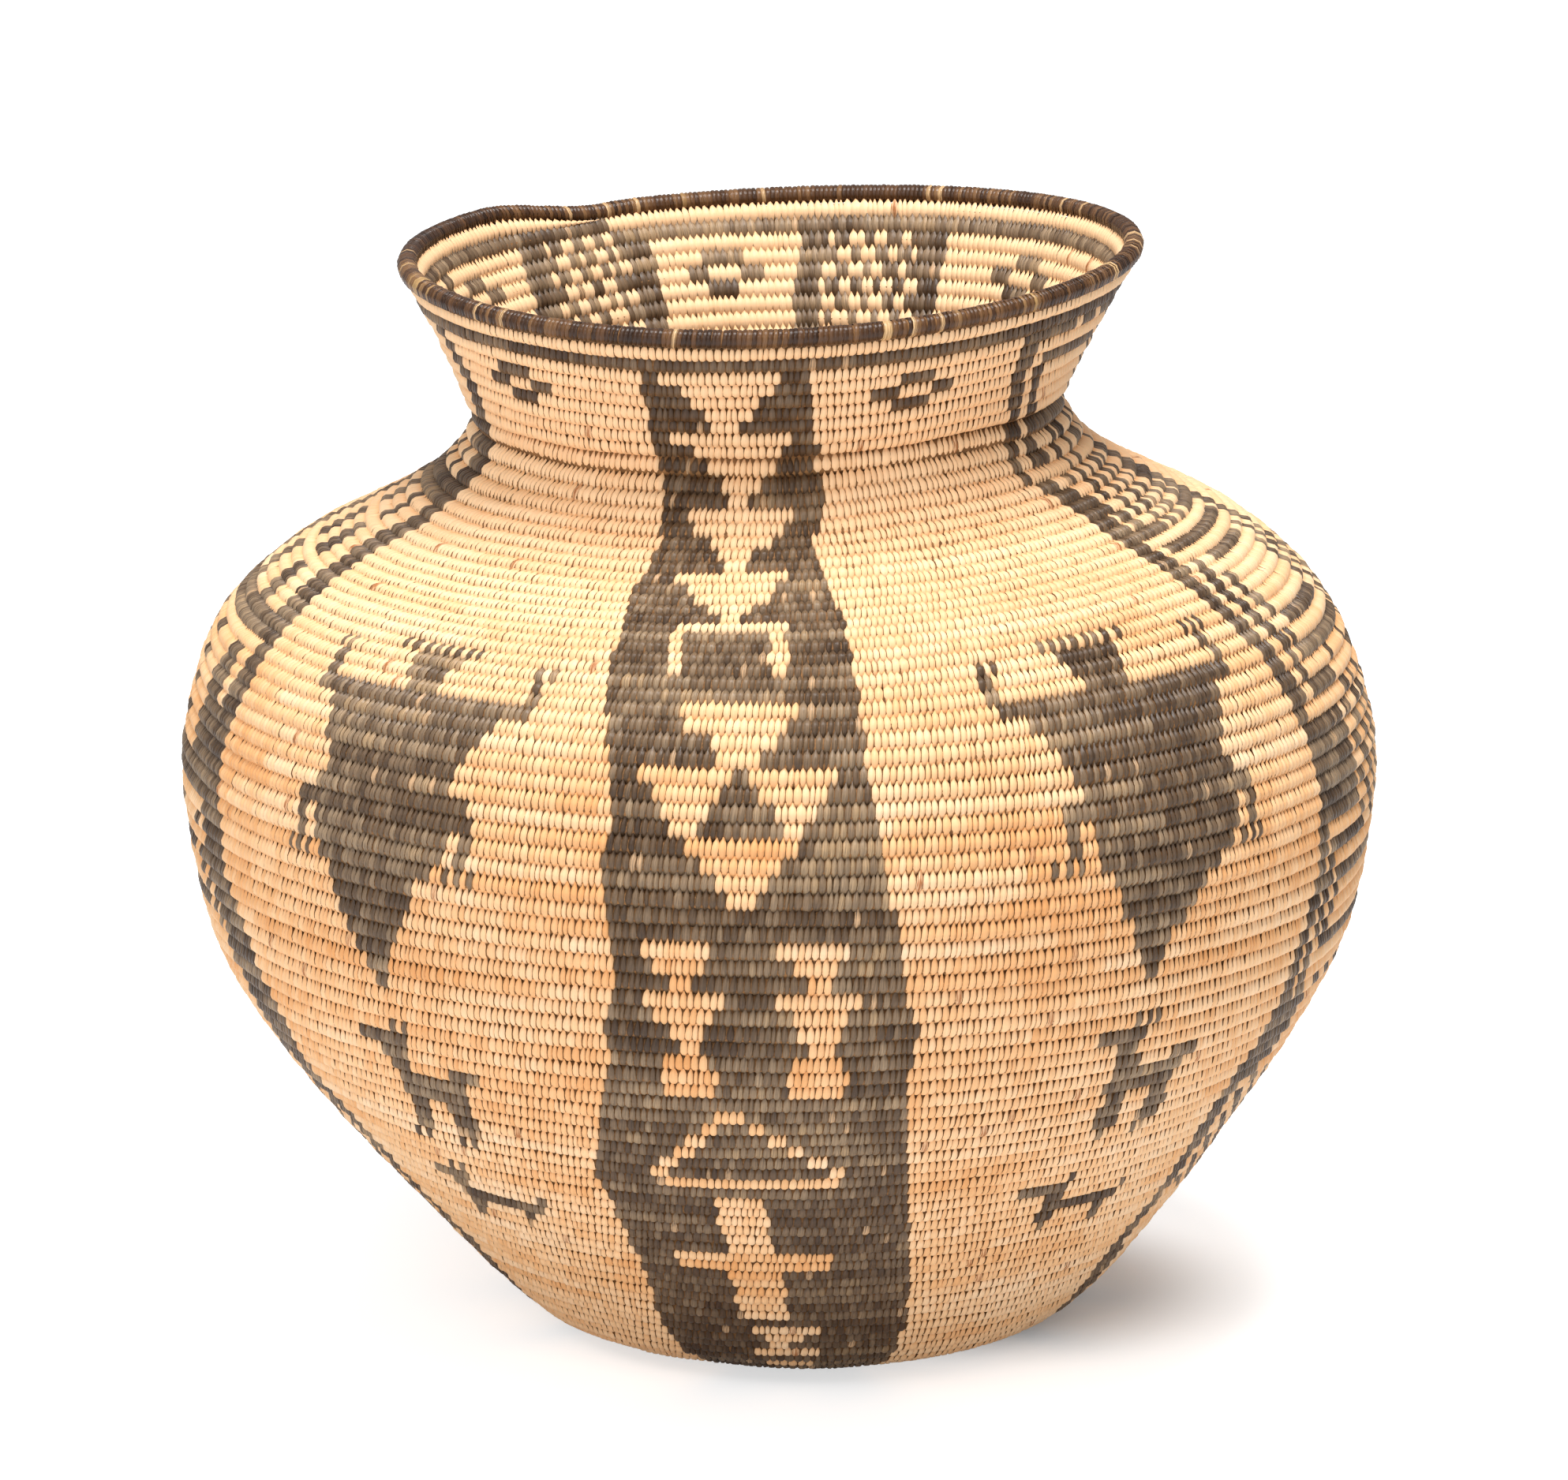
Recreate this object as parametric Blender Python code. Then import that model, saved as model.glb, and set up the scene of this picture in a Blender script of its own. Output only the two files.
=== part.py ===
"""A coiled willow storage basket of the olla form: a wide belly, a drawn-in neck and a flared mouth.

The whole wall is one long coil of willow rods, wound as a spiral from a knot in the middle of the
base up to the mouth and sewn to itself turn by turn. The weaver splices in new rods all the way up,
so the coil is modelled here as runs of a few turns each, end to end along the one spiral. The last
turn runs out to nothing, and a thicker coil wrapped in dark splints closes the rim. Its wrapping is
a sleeve with three rods inside.

Everything is in metres. Z is up, the floor is Z = 0, and the front of the basket faces -Y.
"""

import math

import bmesh
import bpy
from mathutils import Vector

# Size and form of the basket, taken to the crests of the coils
HEIGHT = 0.384
BELLY_RADIUS = 0.210
FLOOR_RADIUS = 0.056
NECK_RADIUS = 0.104
MOUTH_RADIUS = 0.1286

# Levels of the form, as shares of its height
BELLY_LEVEL_SHARE = 0.505
NECK_LEVEL_SHARE = 0.854
FOOT_SHIFT_LEVEL_SHARE = 0.352
LEAN_LEVEL_SHARES = 0.560, 0.833
FOLD_LEVEL_SHARE = 0.872
WARP_LEVEL_SHARE = 0.800

# The coil
COIL_PITCH = 0.0055
WALL = 0.0056
VALLEY_DEPTH = 0.0018
FLOOR_CUT = 0.0005
SEAT_GAP = 0.0003

# The rim coil and what is inside it
RIM_DIAMETER = 0.0068
SPLINT_THICKNESS = 0.0006

# How the real basket leans and sags: shifts to the right, and rises at the right, back and sides
FOOT_SHIFT = 0.0087
NECK_SHIFT = -0.0042
MOUTH_SHIFT = 0.0018
LEAN_RISE = 0.0051
BACK_RISE = 0.0027
SIDE_RISE = 0.0018
FOLD_DEPTH = 0.0045
FOLD_AZIMUTH = math.radians(-142)
FOLD_HALF_WIDTH = math.radians(17)

# Between the foot and the belly: shares of the way out, and of the way up
LOWER_WALL_SHARES = (
    (0.160, 0.018),
    (0.270, 0.048),
    (0.363, 0.114),
    (0.488, 0.229),
    (0.642, 0.381),
    (0.815, 0.571),
    (0.943, 0.762),
)
# Between the belly and the neck: shares of the way in, and of the way up
SHOULDER_SHARES = (
    (0.020, 0.223),
    (0.127, 0.460),
    (0.350, 0.638),
    (0.628, 0.757),
    (0.880, 0.877),
)
# Between the neck and the rim: shares of the way out, and of the way up
FLARE_SHARES = (
    (0.115, 0.190),
    (0.325, 0.410),
    (0.555, 0.620),
)

# Each run of the coil, with the share of all its turns at which the run ends
RUN_END_SHARES = (
    ("start_knot", 0.017),
    ("base_run_1", 0.063),
    ("base_run_2", 0.119),
    ("foot_run", 0.186),
    ("lower_wall_run_1", 0.253),
    ("lower_wall_run_2", 0.318),
    ("lower_wall_run_3", 0.382),
    ("belly_run_1", 0.439),
    ("belly_run_2", 0.498),
    ("belly_run_3", 0.554),
    ("belly_run_4", 0.613),
    ("shoulder_run_1", 0.670),
    ("shoulder_run_2", 0.729),
    ("shoulder_run_3", 0.794),
    ("shoulder_run_4", 0.855),
    ("neck_run_1", 0.907),
    ("neck_run_2", 0.954),
    ("mouth_run", 1.000),
)
BASE_RUNS = ("base_run_1", "base_run_2")
# How the coil's pitch varies: shares of the way along the profile, and of COIL_PITCH
PITCH_SHARES = (
    (0.000, 0.905),
    (0.190, 0.905),
    (0.310, 0.955),
    (0.400, 1.010),
    (0.450, 1.090),
    (0.690, 1.095),
    (0.735, 0.960),
    (0.785, 0.890),
    (0.835, 1.055),
    (0.875, 1.045),
    (0.930, 1.030),
    (1.000, 1.030),
)

# How finely the coil is drawn
COLUMNS = 30
PROFILE_STEPS = 12
WALL_ROW_SHARES = (0.0, 0.5)
BASE_ROW_SHARES = (0.0, 0.25, 0.75)
COURSES_PER_INNER_ROW = 5
SLEEVE_SIDES = 8
ROD_SIDES = 6
RODS = 3
RUN_OUT_COLUMNS = 2
END_COLUMN_AZIMUTH = math.radians(-150)
# A turn is drawn with straight sides, so its corners stand out as far as the middles stand in
CORNER_SHARE = 2 / (1 + math.cos(math.pi / COLUMNS))

# Finishes: colour and roughness
WILLOW_COILS = (0.74, 0.50, 0.27, 1.0), 0.55
FOOT_COILS = (0.62, 0.42, 0.23, 1.0), 0.60
DARK_WRAPPING = (0.085, 0.055, 0.038, 1.0), 0.45
PEELED_RODS = (0.66, 0.49, 0.31, 1.0), 0.65


def clear_scene():
    for item in list(bpy.data.objects):
        bpy.data.objects.remove(item, do_unlink=True)


def smooth_step(value):
    value = min(1.0, max(0.0, value))
    return value * value * (3.0 - 2.0 * value)


# The profile: a smooth curve through the crests, from the middle of the base to the rim

def profile_stations():
    foot = Vector((FLOOR_RADIUS, -FLOOR_CUT))
    belly = Vector((BELLY_RADIUS, HEIGHT * BELLY_LEVEL_SHARE))
    neck = Vector((NECK_RADIUS, HEIGHT * NECK_LEVEL_SHARE))
    rim = Vector((MOUTH_RADIUS, HEIGHT - RIM_DIAMETER / 2))
    stations = [foot]
    for low, high, shares in (
        (foot, belly, LOWER_WALL_SHARES),
        (belly, neck, SHOULDER_SHARES),
        (neck, rim, FLARE_SHARES),
    ):
        way = high - low
        for across, up in shares:
            stations.append(low + Vector((way.x * across, way.y * up)))
        stations.append(high)
    return stations


def curve_point(points, index, share):
    """A point on the Catmull-Rom curve between points[index] and points[index + 1]."""
    before = points[index - 1] if index else 2 * points[0] - points[1]
    here = points[index]
    there = points[index + 1]
    beyond = points[index + 2] if index + 2 < len(points) else 2 * there - here
    return (
        here
        + share * 0.5 * (there - before)
        + share ** 2 * (before - 2.5 * here + 2 * there - 0.5 * beyond)
        + share ** 3 * (1.5 * (here - there) + 0.5 * (beyond - before))
    )


def profile_line():
    """The profile as points (radius, height) with the length along it up to each."""
    stations = profile_stations()
    points = [Vector((0.0, -FLOOR_CUT))]
    for index in range(len(stations) - 1):
        for step in range(PROFILE_STEPS):
            points.append(curve_point(stations, index, step / PROFILE_STEPS))
    points.append(stations[-1])
    lengths = [0.0]
    for previous, point in zip(points, points[1:]):
        lengths.append(lengths[-1] + (point - previous).length)
    return points, lengths


PROFILE, LENGTHS = profile_line()


def on_profile(length):
    """The point at this length along the profile, and the direction of the profile there."""
    index = 1
    while index < len(LENGTHS) - 1 and LENGTHS[index] < length:
        index += 1
    start, end = PROFILE[index - 1], PROFILE[index]
    way = (end - start).normalized()
    return start + way * (length - LENGTHS[index - 1]), way


def lean(point):
    """The real basket's lean: foot to one side, neck tipped, mouth warped and folded."""
    x, y, z = point
    level = z / HEIGHT
    lean_start, lean_end = LEAN_LEVEL_SHARES
    azimuth = math.atan2(x, -y)
    off_fold = (azimuth - FOLD_AZIMUTH + math.pi) % (2 * math.pi) - math.pi
    fold = smooth_step(1.0 - abs(off_fold) / FOLD_HALF_WIDTH)
    fold *= smooth_step((level - FOLD_LEVEL_SHARE) / (1.0 - FOLD_LEVEL_SHARE))
    tip = smooth_step((level - lean_start) / (lean_end - lean_start))
    foot = 1.0 - smooth_step(level / FOOT_SHIFT_LEVEL_SHARE)
    warp = smooth_step((level - WARP_LEVEL_SHARE) / (1.0 - WARP_LEVEL_SHARE))
    inward = fold * FOLD_DEPTH
    drop = BACK_RISE * math.cos(azimuth) + SIDE_RISE * math.cos(2 * azimuth)
    return Vector((
        x - inward * math.sin(azimuth) + foot * FOOT_SHIFT + tip * NECK_SHIFT + warp * MOUTH_SHIFT,
        y + inward * math.cos(azimuth),
        z + tip * LEAN_RISE * x / MOUTH_RADIUS - warp * drop,
    ))


def place(azimuth, length, depth):
    """A point of the wall: its azimuth, length along the profile, and depth behind the crests."""
    point, way = on_profile(length)
    radius = (point.x - depth * way.y) * CORNER_SHARE
    height = max(0.0, point.y + depth * way.x)
    return lean(Vector((radius * math.sin(azimuth), -radius * math.cos(azimuth), height)))


# The spiral: cell n is the piece of coil from column n to column n + 1, counted from the knot

RIM_LENGTH = LENGTHS[-1]
BODY_LENGTH = RIM_LENGTH - RIM_DIAMETER / 2 - SEAT_GAP


def pitch_at(length):
    """Height of one course at this length along the profile."""
    share = length / RIM_LENGTH
    for (low, low_pitch), (high, high_pitch) in zip(PITCH_SHARES, PITCH_SHARES[1:]):
        if share <= high:
            way = (share - low) / (high - low)
            return COIL_PITCH * (low_pitch + (high_pitch - low_pitch) * way)
    return COIL_PITCH * PITCH_SHARES[-1][1]


def cell_lengths():
    """Length along the profile at the lower edge of each cell, up to one turn beyond the rim."""
    lengths = [0.0]
    while lengths[-1] < RIM_LENGTH + 2 * COIL_PITCH:
        lengths.append(lengths[-1] + pitch_at(lengths[-1]) / COLUMNS)
    return lengths


CELL_LENGTHS = cell_lengths()
LAST_CELL = sum(length + pitch_at(length) / 2 < BODY_LENGTH for length in CELL_LENGTHS)


def azimuth_at(cell, trim=0.0):
    """The coil winds clockwise, seen from above. A trim moves the point on by that angle."""
    return END_COLUMN_AZIMUTH + 2 * math.pi * (LAST_CELL - cell) / COLUMNS - trim


def length_at(cell):
    return CELL_LENGTHS[cell]


def course_height(cell):
    return length_at(cell + COLUMNS) - length_at(cell)


def last_course_height(cell):
    """Height of the last course, full until it runs out over its last columns."""
    return course_height(cell) * smooth_step((LAST_CELL - cell) / RUN_OUT_COLUMNS)


def top_edge(cell):
    """Length along the profile of the finished wall's edge, at this cell of the last course."""
    return length_at(cell) + last_course_height(cell)


class CoilRun:
    """One run of the coil, from one cell of the spiral to another, as a closed solid."""

    def __init__(self, first, last, row_shares):
        self.first = first
        self.last = last
        self.row_shares = row_shares
        self.runs_out = last == LAST_CELL
        self.verts = []
        self.faces = []
        self.index = {}

    def vert(self, key, azimuth, length, depth):
        if key not in self.index:
            self.index[key] = len(self.verts)
            self.verts.append(place(azimuth, length, depth))
        return self.index[key]

    def face(self, *corners):
        ring = [corner for i, corner in enumerate(corners) if corner != corners[i - 1]]
        if len(ring) > 2:
            self.faces.append(ring)

    def end_trim(self, cell, length):
        """The angle that takes an end of the run back from the run that it meets."""
        angle = SEAT_GAP / max(on_profile(length)[0].x, COIL_PITCH)
        return angle if cell == self.first else -angle

    def edge_point(self, cell, depth, side):
        """A corner of the coil lattice, drawn back from the neighbouring runs by half the gap."""
        if self.runs_out and cell == self.last + COLUMNS:
            cell = self.last
        length = length_at(cell)
        trim = 0.0
        if cell in (self.first, self.last + COLUMNS):
            trim = self.end_trim(cell, length)
        if self.runs_out and cell > self.last:
            length = top_edge(cell - COLUMNS)
        if cell <= self.first + COLUMNS:
            length += SEAT_GAP / 2
        elif cell >= self.last:
            length -= SEAT_GAP / 2
        return self.vert((side, cell), azimuth_at(cell, trim), length, depth)

    def outer(self, cell, row):
        if row == len(self.row_shares):
            return self.outer(cell + COLUMNS, 0)
        if row == 0:
            return self.edge_point(cell, VALLEY_DEPTH, "outer")
        if self.runs_out and cell == self.last:
            return self.outer(cell, 0)
        height = course_height(cell)
        if self.runs_out and cell > self.last - COLUMNS:
            height = last_course_height(cell)
        length = length_at(cell) + height * self.row_shares[row]
        trim = 0.0
        if cell in (self.first, self.last):
            trim = self.end_trim(cell, length)
        return self.vert(("crest", cell, row), azimuth_at(cell, trim), length, 0.0)

    def inner(self, cell):
        return self.edge_point(cell, WALL, "inner")

    def middle(self, cell, row, rows):
        """A corner of a level row across the inside."""
        column = cell % COLUMNS
        low = length_at(self.first + COLUMNS)
        high = length_at(self.last)
        length = low + (high - low) * (row + 0.5) / rows
        return self.vert(("middle", column, row), azimuth_at(column), length, WALL)

    def outside(self):
        for cell in range(self.first, self.last):
            for row in range(len(self.row_shares)):
                self.face(
                    self.outer(cell, row),
                    self.outer(cell + 1, row),
                    self.outer(cell + 1, row + 1),
                    self.outer(cell, row + 1),
                )

    def edges(self):
        for start in (self.first, self.last):
            for cell in range(start, start + COLUMNS):
                self.face(
                    self.outer(cell, 0),
                    self.outer(cell + 1, 0),
                    self.inner(cell + 1),
                    self.inner(cell),
                )

    def ends(self):
        for cell in (self.first, self.last):
            if self.runs_out and cell == self.last:
                continue
            rows = range(len(self.row_shares) + 1)
            outside = [self.outer(cell, row) for row in rows]
            self.face(*outside, self.inner(cell + COLUMNS), self.inner(cell))

    def inside(self):
        turns = (self.last - self.first) / COLUMNS
        rows = max(1, round(turns / COURSES_PER_INNER_ROW))
        for step in range(COLUMNS):
            low = self.first + step
            below = self.inner(low)
            if step == 0:
                above = self.inner(low + COLUMNS)
                self.face(below, self.inner(low + 1), above)
                below = above
            middles = [(self.middle(low, row, rows), self.middle(low + 1, row, rows)) for row in range(rows)]
            self.face(below, self.inner(low + 1), middles[0][1], middles[0][0])
            for lower, upper in zip(middles, middles[1:]):
                self.face(lower[0], lower[1], upper[1], upper[0])
            high = self.last + (low - self.last) % COLUMNS
            beyond = self.inner(high + 1)
            if high == self.last + COLUMNS - 1:
                beyond = self.inner(self.last)
                self.face(self.inner(high), beyond, self.inner(high + 1))
            self.face(middles[-1][0], middles[-1][1], beyond, self.inner(high))

    def solid(self):
        self.outside()
        self.edges()
        self.ends()
        self.inside()
        return self.verts, self.faces


def knot_solid(last):
    """The start knot: a flat button whose edge is the first turn of the spiral."""
    run = CoilRun(-COLUMNS - 1, last, WALL_ROW_SHARES)
    below = run.vert("below", 0.0, 0.0, 0.0)
    above = run.vert("above", 0.0, 0.0, WALL)
    for cell in range(last, last + COLUMNS):
        outer_pair = run.edge_point(cell, 0.0, "outer"), run.edge_point(cell + 1, 0.0, "outer")
        inner_pair = run.inner(cell), run.inner(cell + 1)
        run.face(below, *outer_pair)
        run.face(above, *inner_pair)
        run.face(*outer_pair, inner_pair[1], inner_pair[0])
    start = run.edge_point(last, 0.0, "outer"), run.inner(last)
    end = run.edge_point(last + COLUMNS, 0.0, "outer"), run.inner(last + COLUMNS)
    run.face(below, start[0], start[1], above, end[1], end[0])
    return run.verts, run.faces


# The rim: a ring along the wall's edge, open for a hair's breadth where its ends meet

def rim_frames(trim):
    """Middle, direction along the wall and direction out of it, at each column round the rim."""
    frames = []
    for step in range(COLUMNS + 1):
        cell = LAST_CELL - COLUMNS + step
        turn = 0.0
        if step == 0:
            turn = trim / MOUTH_RADIUS
        if step == COLUMNS:
            turn = -trim / MOUTH_RADIUS
        azimuth = azimuth_at(cell, turn)
        length = top_edge(cell) + SEAT_GAP / 2 + RIM_DIAMETER / 2
        middle = place(azimuth, length, WALL / 2)
        up = (place(azimuth, length + WALL, WALL / 2) - middle).normalized()
        out = (place(azimuth, length, -WALL / 2) - middle).normalized()
        out = (out - up * out.dot(up)).normalized()
        frames.append((middle, up, out))
    return frames


def ring_points(frames, radius, sides, offset_up=0.0, offset_out=0.0):
    """A ring of corners round each frame."""
    rings = []
    for middle, up, out in frames:
        centre = middle + up * offset_up + out * offset_out
        ring = []
        for side in range(sides):
            angle = 2 * math.pi * side / sides
            ring.append(centre + (up * math.cos(angle) + out * math.sin(angle)) * radius)
        rings.append(ring)
    return rings


def skin(mesh_verts, mesh_faces, rings):
    """Adds rings of corners and the faces between them, and returns the first and last ring."""
    indexed = []
    for ring in rings:
        start = len(mesh_verts)
        mesh_verts.extend(ring)
        indexed.append(list(range(start, start + len(ring))))
    for ring, following in zip(indexed, indexed[1:]):
        for i in range(len(ring)):
            mesh_faces.append((ring[i - 1], ring[i], following[i], following[i - 1]))
    return indexed[0], indexed[-1]


def rim_sleeve_solid():
    """The wrapping of dark splints, as a sleeve open at both ends."""
    frames = rim_frames(SEAT_GAP)
    verts, faces = [], []
    radius = RIM_DIAMETER / 2
    outside = skin(verts, faces, ring_points(frames, radius, SLEEVE_SIDES))
    inside = skin(verts, faces, ring_points(frames, radius - SPLINT_THICKNESS, SLEEVE_SIDES))
    for outer_ring, inner_ring in zip(outside, inside):
        for i in range(SLEEVE_SIDES):
            faces.append((outer_ring[i - 1], outer_ring[i], inner_ring[i], inner_ring[i - 1]))
    return verts, faces


def rim_rod_solid(number):
    """One of the three rods, a seat gap from the sleeve and from the other two."""
    room = (RIM_DIAMETER / 2 - SPLINT_THICKNESS) * math.cos(math.pi / SLEEVE_SIDES) - SEAT_GAP
    spread = math.sin(math.pi / RODS)
    radius = (room * spread - SEAT_GAP / 2) / (1 + spread)
    turn = 2 * math.pi * number / RODS
    reach = room - radius
    frames = rim_frames(2 * SEAT_GAP)
    verts, faces = [], []
    rings = ring_points(frames, radius, ROD_SIDES, reach * math.cos(turn), reach * math.sin(turn))
    for ring in skin(verts, faces, rings):
        faces.append(ring)
    return verts, faces


def finish(name, colour, roughness):
    material = bpy.data.materials.new(name)
    material.use_nodes = True
    shader = material.node_tree.nodes["Principled BSDF"]
    shader.inputs["Base Color"].default_value = colour
    shader.inputs["Roughness"].default_value = roughness
    shader.inputs["Metallic"].default_value = 0.0
    return material


def add_piece(name, verts, faces, look):
    mesh = bpy.data.meshes.new(name)
    mesh.from_pydata(verts, [], faces)
    shape = bmesh.new()
    shape.from_mesh(mesh)
    bmesh.ops.recalc_face_normals(shape, faces=shape.faces)
    shape.to_mesh(mesh)
    shape.free()
    mesh.shade_smooth()
    mesh.set_sharp_from_angle(angle=math.radians(50))
    mesh.materials.append(finish(name, *look))
    piece = bpy.data.objects.new(name, mesh)
    bpy.context.scene.collection.objects.link(piece)
    return piece


def make_coil_runs():
    first = 0
    for name, end_share in RUN_END_SHARES:
        last = round(LAST_CELL * end_share)
        if first == 0:
            add_piece(name, *knot_solid(last), FOOT_COILS)
        else:
            is_base = name in BASE_RUNS
            run = CoilRun(first, last, BASE_ROW_SHARES if is_base else WALL_ROW_SHARES)
            add_piece(name, *run.solid(), FOOT_COILS if is_base else WILLOW_COILS)
        first = last


def make_rim():
    add_piece("rim_wrapping", *rim_sleeve_solid(), DARK_WRAPPING)
    for number in range(RODS):
        add_piece(f"rim_rod_{number + 1}", *rim_rod_solid(number), PEELED_RODS)


clear_scene()
make_coil_runs()
make_rim()
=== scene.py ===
"""A coiled willow storage basket of the olla form, sewn stitch by stitch over its coil.

The coil is one spiral from the knot in the base to the mouth. Each stitch is a splint that passes
over one course of the coil and goes in between two stitches of the course below, so its ends are
pointed and the ends of neighbouring courses interlock. Light stitches are willow, dark ones devil's
claw. Lengths are in metres, courses are counted from the rim down, and azimuths run from the front
(0 degrees) to the right.
"""

import math
import random

import bpy
import numpy as np
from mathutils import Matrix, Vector


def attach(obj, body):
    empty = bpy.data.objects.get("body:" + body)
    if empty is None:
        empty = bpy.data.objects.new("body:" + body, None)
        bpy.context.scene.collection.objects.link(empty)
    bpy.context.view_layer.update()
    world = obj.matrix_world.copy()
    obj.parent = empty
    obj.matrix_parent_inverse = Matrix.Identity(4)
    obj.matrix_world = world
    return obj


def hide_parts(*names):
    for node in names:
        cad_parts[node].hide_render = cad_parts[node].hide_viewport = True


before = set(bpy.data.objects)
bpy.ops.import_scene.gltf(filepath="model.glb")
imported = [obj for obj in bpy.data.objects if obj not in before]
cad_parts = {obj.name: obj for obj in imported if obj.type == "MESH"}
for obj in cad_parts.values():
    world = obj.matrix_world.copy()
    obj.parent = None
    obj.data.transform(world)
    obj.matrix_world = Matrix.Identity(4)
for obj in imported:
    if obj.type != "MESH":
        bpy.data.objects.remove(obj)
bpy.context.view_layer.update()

# The form, with the same numbers as the part's source

HEIGHT = 0.384
BELLY_RADIUS = 0.210
FLOOR_RADIUS = 0.056
NECK_RADIUS = 0.104
MOUTH_RADIUS = 0.1286
BELLY_LEVEL_SHARE = 0.505
NECK_LEVEL_SHARE = 0.854
FOOT_SHIFT_LEVEL_SHARE = 0.352
LEAN_LEVEL_SHARES = 0.560, 0.833
FOLD_LEVEL_SHARE = 0.872
WARP_LEVEL_SHARE = 0.800
COIL_PITCH = 0.0055
WALL = 0.0056
FLOOR_CUT = 0.0005
SEAT_GAP = 0.0003
RIM_DIAMETER = 0.0068
FOOT_SHIFT = 0.0087
NECK_SHIFT = -0.0042
MOUTH_SHIFT = 0.0018
LEAN_RISE = 0.0051
BACK_RISE = 0.0027
SIDE_RISE = 0.0018
FOLD_DEPTH = 0.0045
FOLD_AZIMUTH = math.radians(-142)
FOLD_HALF_WIDTH = math.radians(17)
END_AZIMUTH = math.radians(-150)
COLUMNS = 30
RUN_OUT_COLUMNS = 2
LOWER_WALL_SHARES = (
    (0.160, 0.018), (0.270, 0.048), (0.363, 0.114), (0.488, 0.229),
    (0.642, 0.381), (0.815, 0.571), (0.943, 0.762),
)
SHOULDER_SHARES = ((0.020, 0.223), (0.127, 0.460), (0.350, 0.638), (0.628, 0.757), (0.880, 0.877))
FLARE_SHARES = ((0.115, 0.190), (0.325, 0.410), (0.555, 0.620))
PITCH_SHARES = (
    (0.000, 0.905), (0.190, 0.905), (0.310, 0.955), (0.400, 1.010), (0.450, 1.090), (0.690, 1.095),
    (0.735, 0.960), (0.785, 0.890), (0.835, 1.055), (0.875, 1.045), (0.930, 1.030), (1.000, 1.030),
)
RUN_END_SHARES = (
    ("start_knot", 0.017), ("base_run_1", 0.063), ("base_run_2", 0.119), ("foot_run", 0.186),
    ("lower_wall_run_1", 0.253), ("lower_wall_run_2", 0.318), ("lower_wall_run_3", 0.382),
    ("belly_run_1", 0.439), ("belly_run_2", 0.498), ("belly_run_3", 0.554), ("belly_run_4", 0.613),
    ("shoulder_run_1", 0.670), ("shoulder_run_2", 0.729), ("shoulder_run_3", 0.794),
    ("shoulder_run_4", 0.855), ("neck_run_1", 0.907), ("neck_run_2", 0.954), ("mouth_run", 1.000),
)

# The sewing

STITCH_PITCH = 0.0024
RIM_STITCH_PITCH = 0.0017
CREST_PROUD = 0.0002
CORE_CREST_DEPTH = 0.0006
CORE_FLANK_DEPTH = 0.0011
CORE_VALLEY_DEPTH = 0.0026
CORE_COLUMNS = 96
# The stitches under the base are worn flat at the floor, and the core stays above them
CORE_FLOOR_GAP = 0.0006
RIM_CORE_RADIUS = 0.0029
RIM_STITCH_RADIUS = 0.00355
RIM_SLANT = 0.12
# Spread of the rim's stitches along it, in width and in girth, and stitches that one splint wraps
RIM_SPREADS = 0.05, 0.07, 0.018
RIM_SPLINT = 3, 14
RIM_CORE_RINGS = 241
RIM_CORE_SIDES = 12
INNER_FINE_COURSES = 26
# How fresh the devil's claw of the outside has stayed, from course to course
DARK_FRESHNESS = (9, 0.65), (15, 0.15), (30, 0.0), (54, 0.0), (70, 0.6)
# Painted light: how much paler the outside willow is painted, from course to course, most at the neck and the
# bottom
WILLOW_PAINTED_LIGHT = (8, 1.0), (20, 0.7), (30, 0.3), (40, 0.0), (76, 0.0), (89, 1.0)
# Inside, stitches stand out less and lie closer, and the coil's waves show less
INSIDE_RELIEF = 0.7
INSIDE_WIDTH = 1.12
INSIDE_RISE = 0.5
SEED = 11
# How far a stitch may lie off its place, and by how much a gap must be off, as shares of the gap
NUDGE = 0.05
SPAN_SLACK = 0.05
# Spread of the stitches' width and length as shares, and of their height in metres
WIDTH_SPREAD = 0.04
LENGTH_SPREAD = 0.04
RISE_SPREAD = 0.00007
# Fewest and most stitches that one splint sews
DARK_SPLINT = 7, 26
LIGHT_SPLINT = 16, 56
# Each stitch leans to the right as it goes up
SLANT = math.radians(6)
SLANT_SPREAD = 0.06
# Half the distance over which the wall's directions are measured
STEP = 0.0012


def smooth_step(value):
    value = np.clip(value, 0.0, 1.0)
    return value * value * (3.0 - 2.0 * value)


def curve_point(points, index, share):
    """A point on the Catmull-Rom curve between points[index] and points[index + 1]."""
    before = points[index - 1] if index else 2 * points[0] - points[1]
    here = points[index]
    there = points[index + 1]
    beyond = points[index + 2] if index + 2 < len(points) else 2 * there - here
    return (
        here
        + share * 0.5 * (there - before)
        + share ** 2 * (before - 2.5 * here + 2 * there - 0.5 * beyond)
        + share ** 3 * (1.5 * (here - there) + 0.5 * (beyond - before))
    )


def profile_line(steps=24):
    """Radius and height along the profile, with the length up to each point."""
    foot = np.array((FLOOR_RADIUS, -FLOOR_CUT))
    belly = np.array((BELLY_RADIUS, HEIGHT * BELLY_LEVEL_SHARE))
    neck = np.array((NECK_RADIUS, HEIGHT * NECK_LEVEL_SHARE))
    rim = np.array((MOUTH_RADIUS, HEIGHT - RIM_DIAMETER / 2))
    stations = [foot]
    for low, high, shares in (
        (foot, belly, LOWER_WALL_SHARES),
        (belly, neck, SHOULDER_SHARES),
        (neck, rim, FLARE_SHARES),
    ):
        stations += [low + (high - low) * np.array(pair) for pair in shares] + [high]
    points = [np.array((0.0, -FLOOR_CUT))]
    for index in range(len(stations) - 1):
        points += [curve_point(stations, index, step / steps) for step in range(steps)]
    points.append(stations[-1])
    points = np.array(points)
    lengths = np.concatenate(([0.0], np.cumsum(np.linalg.norm(np.diff(points, axis=0), axis=1))))
    return points, lengths


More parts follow.
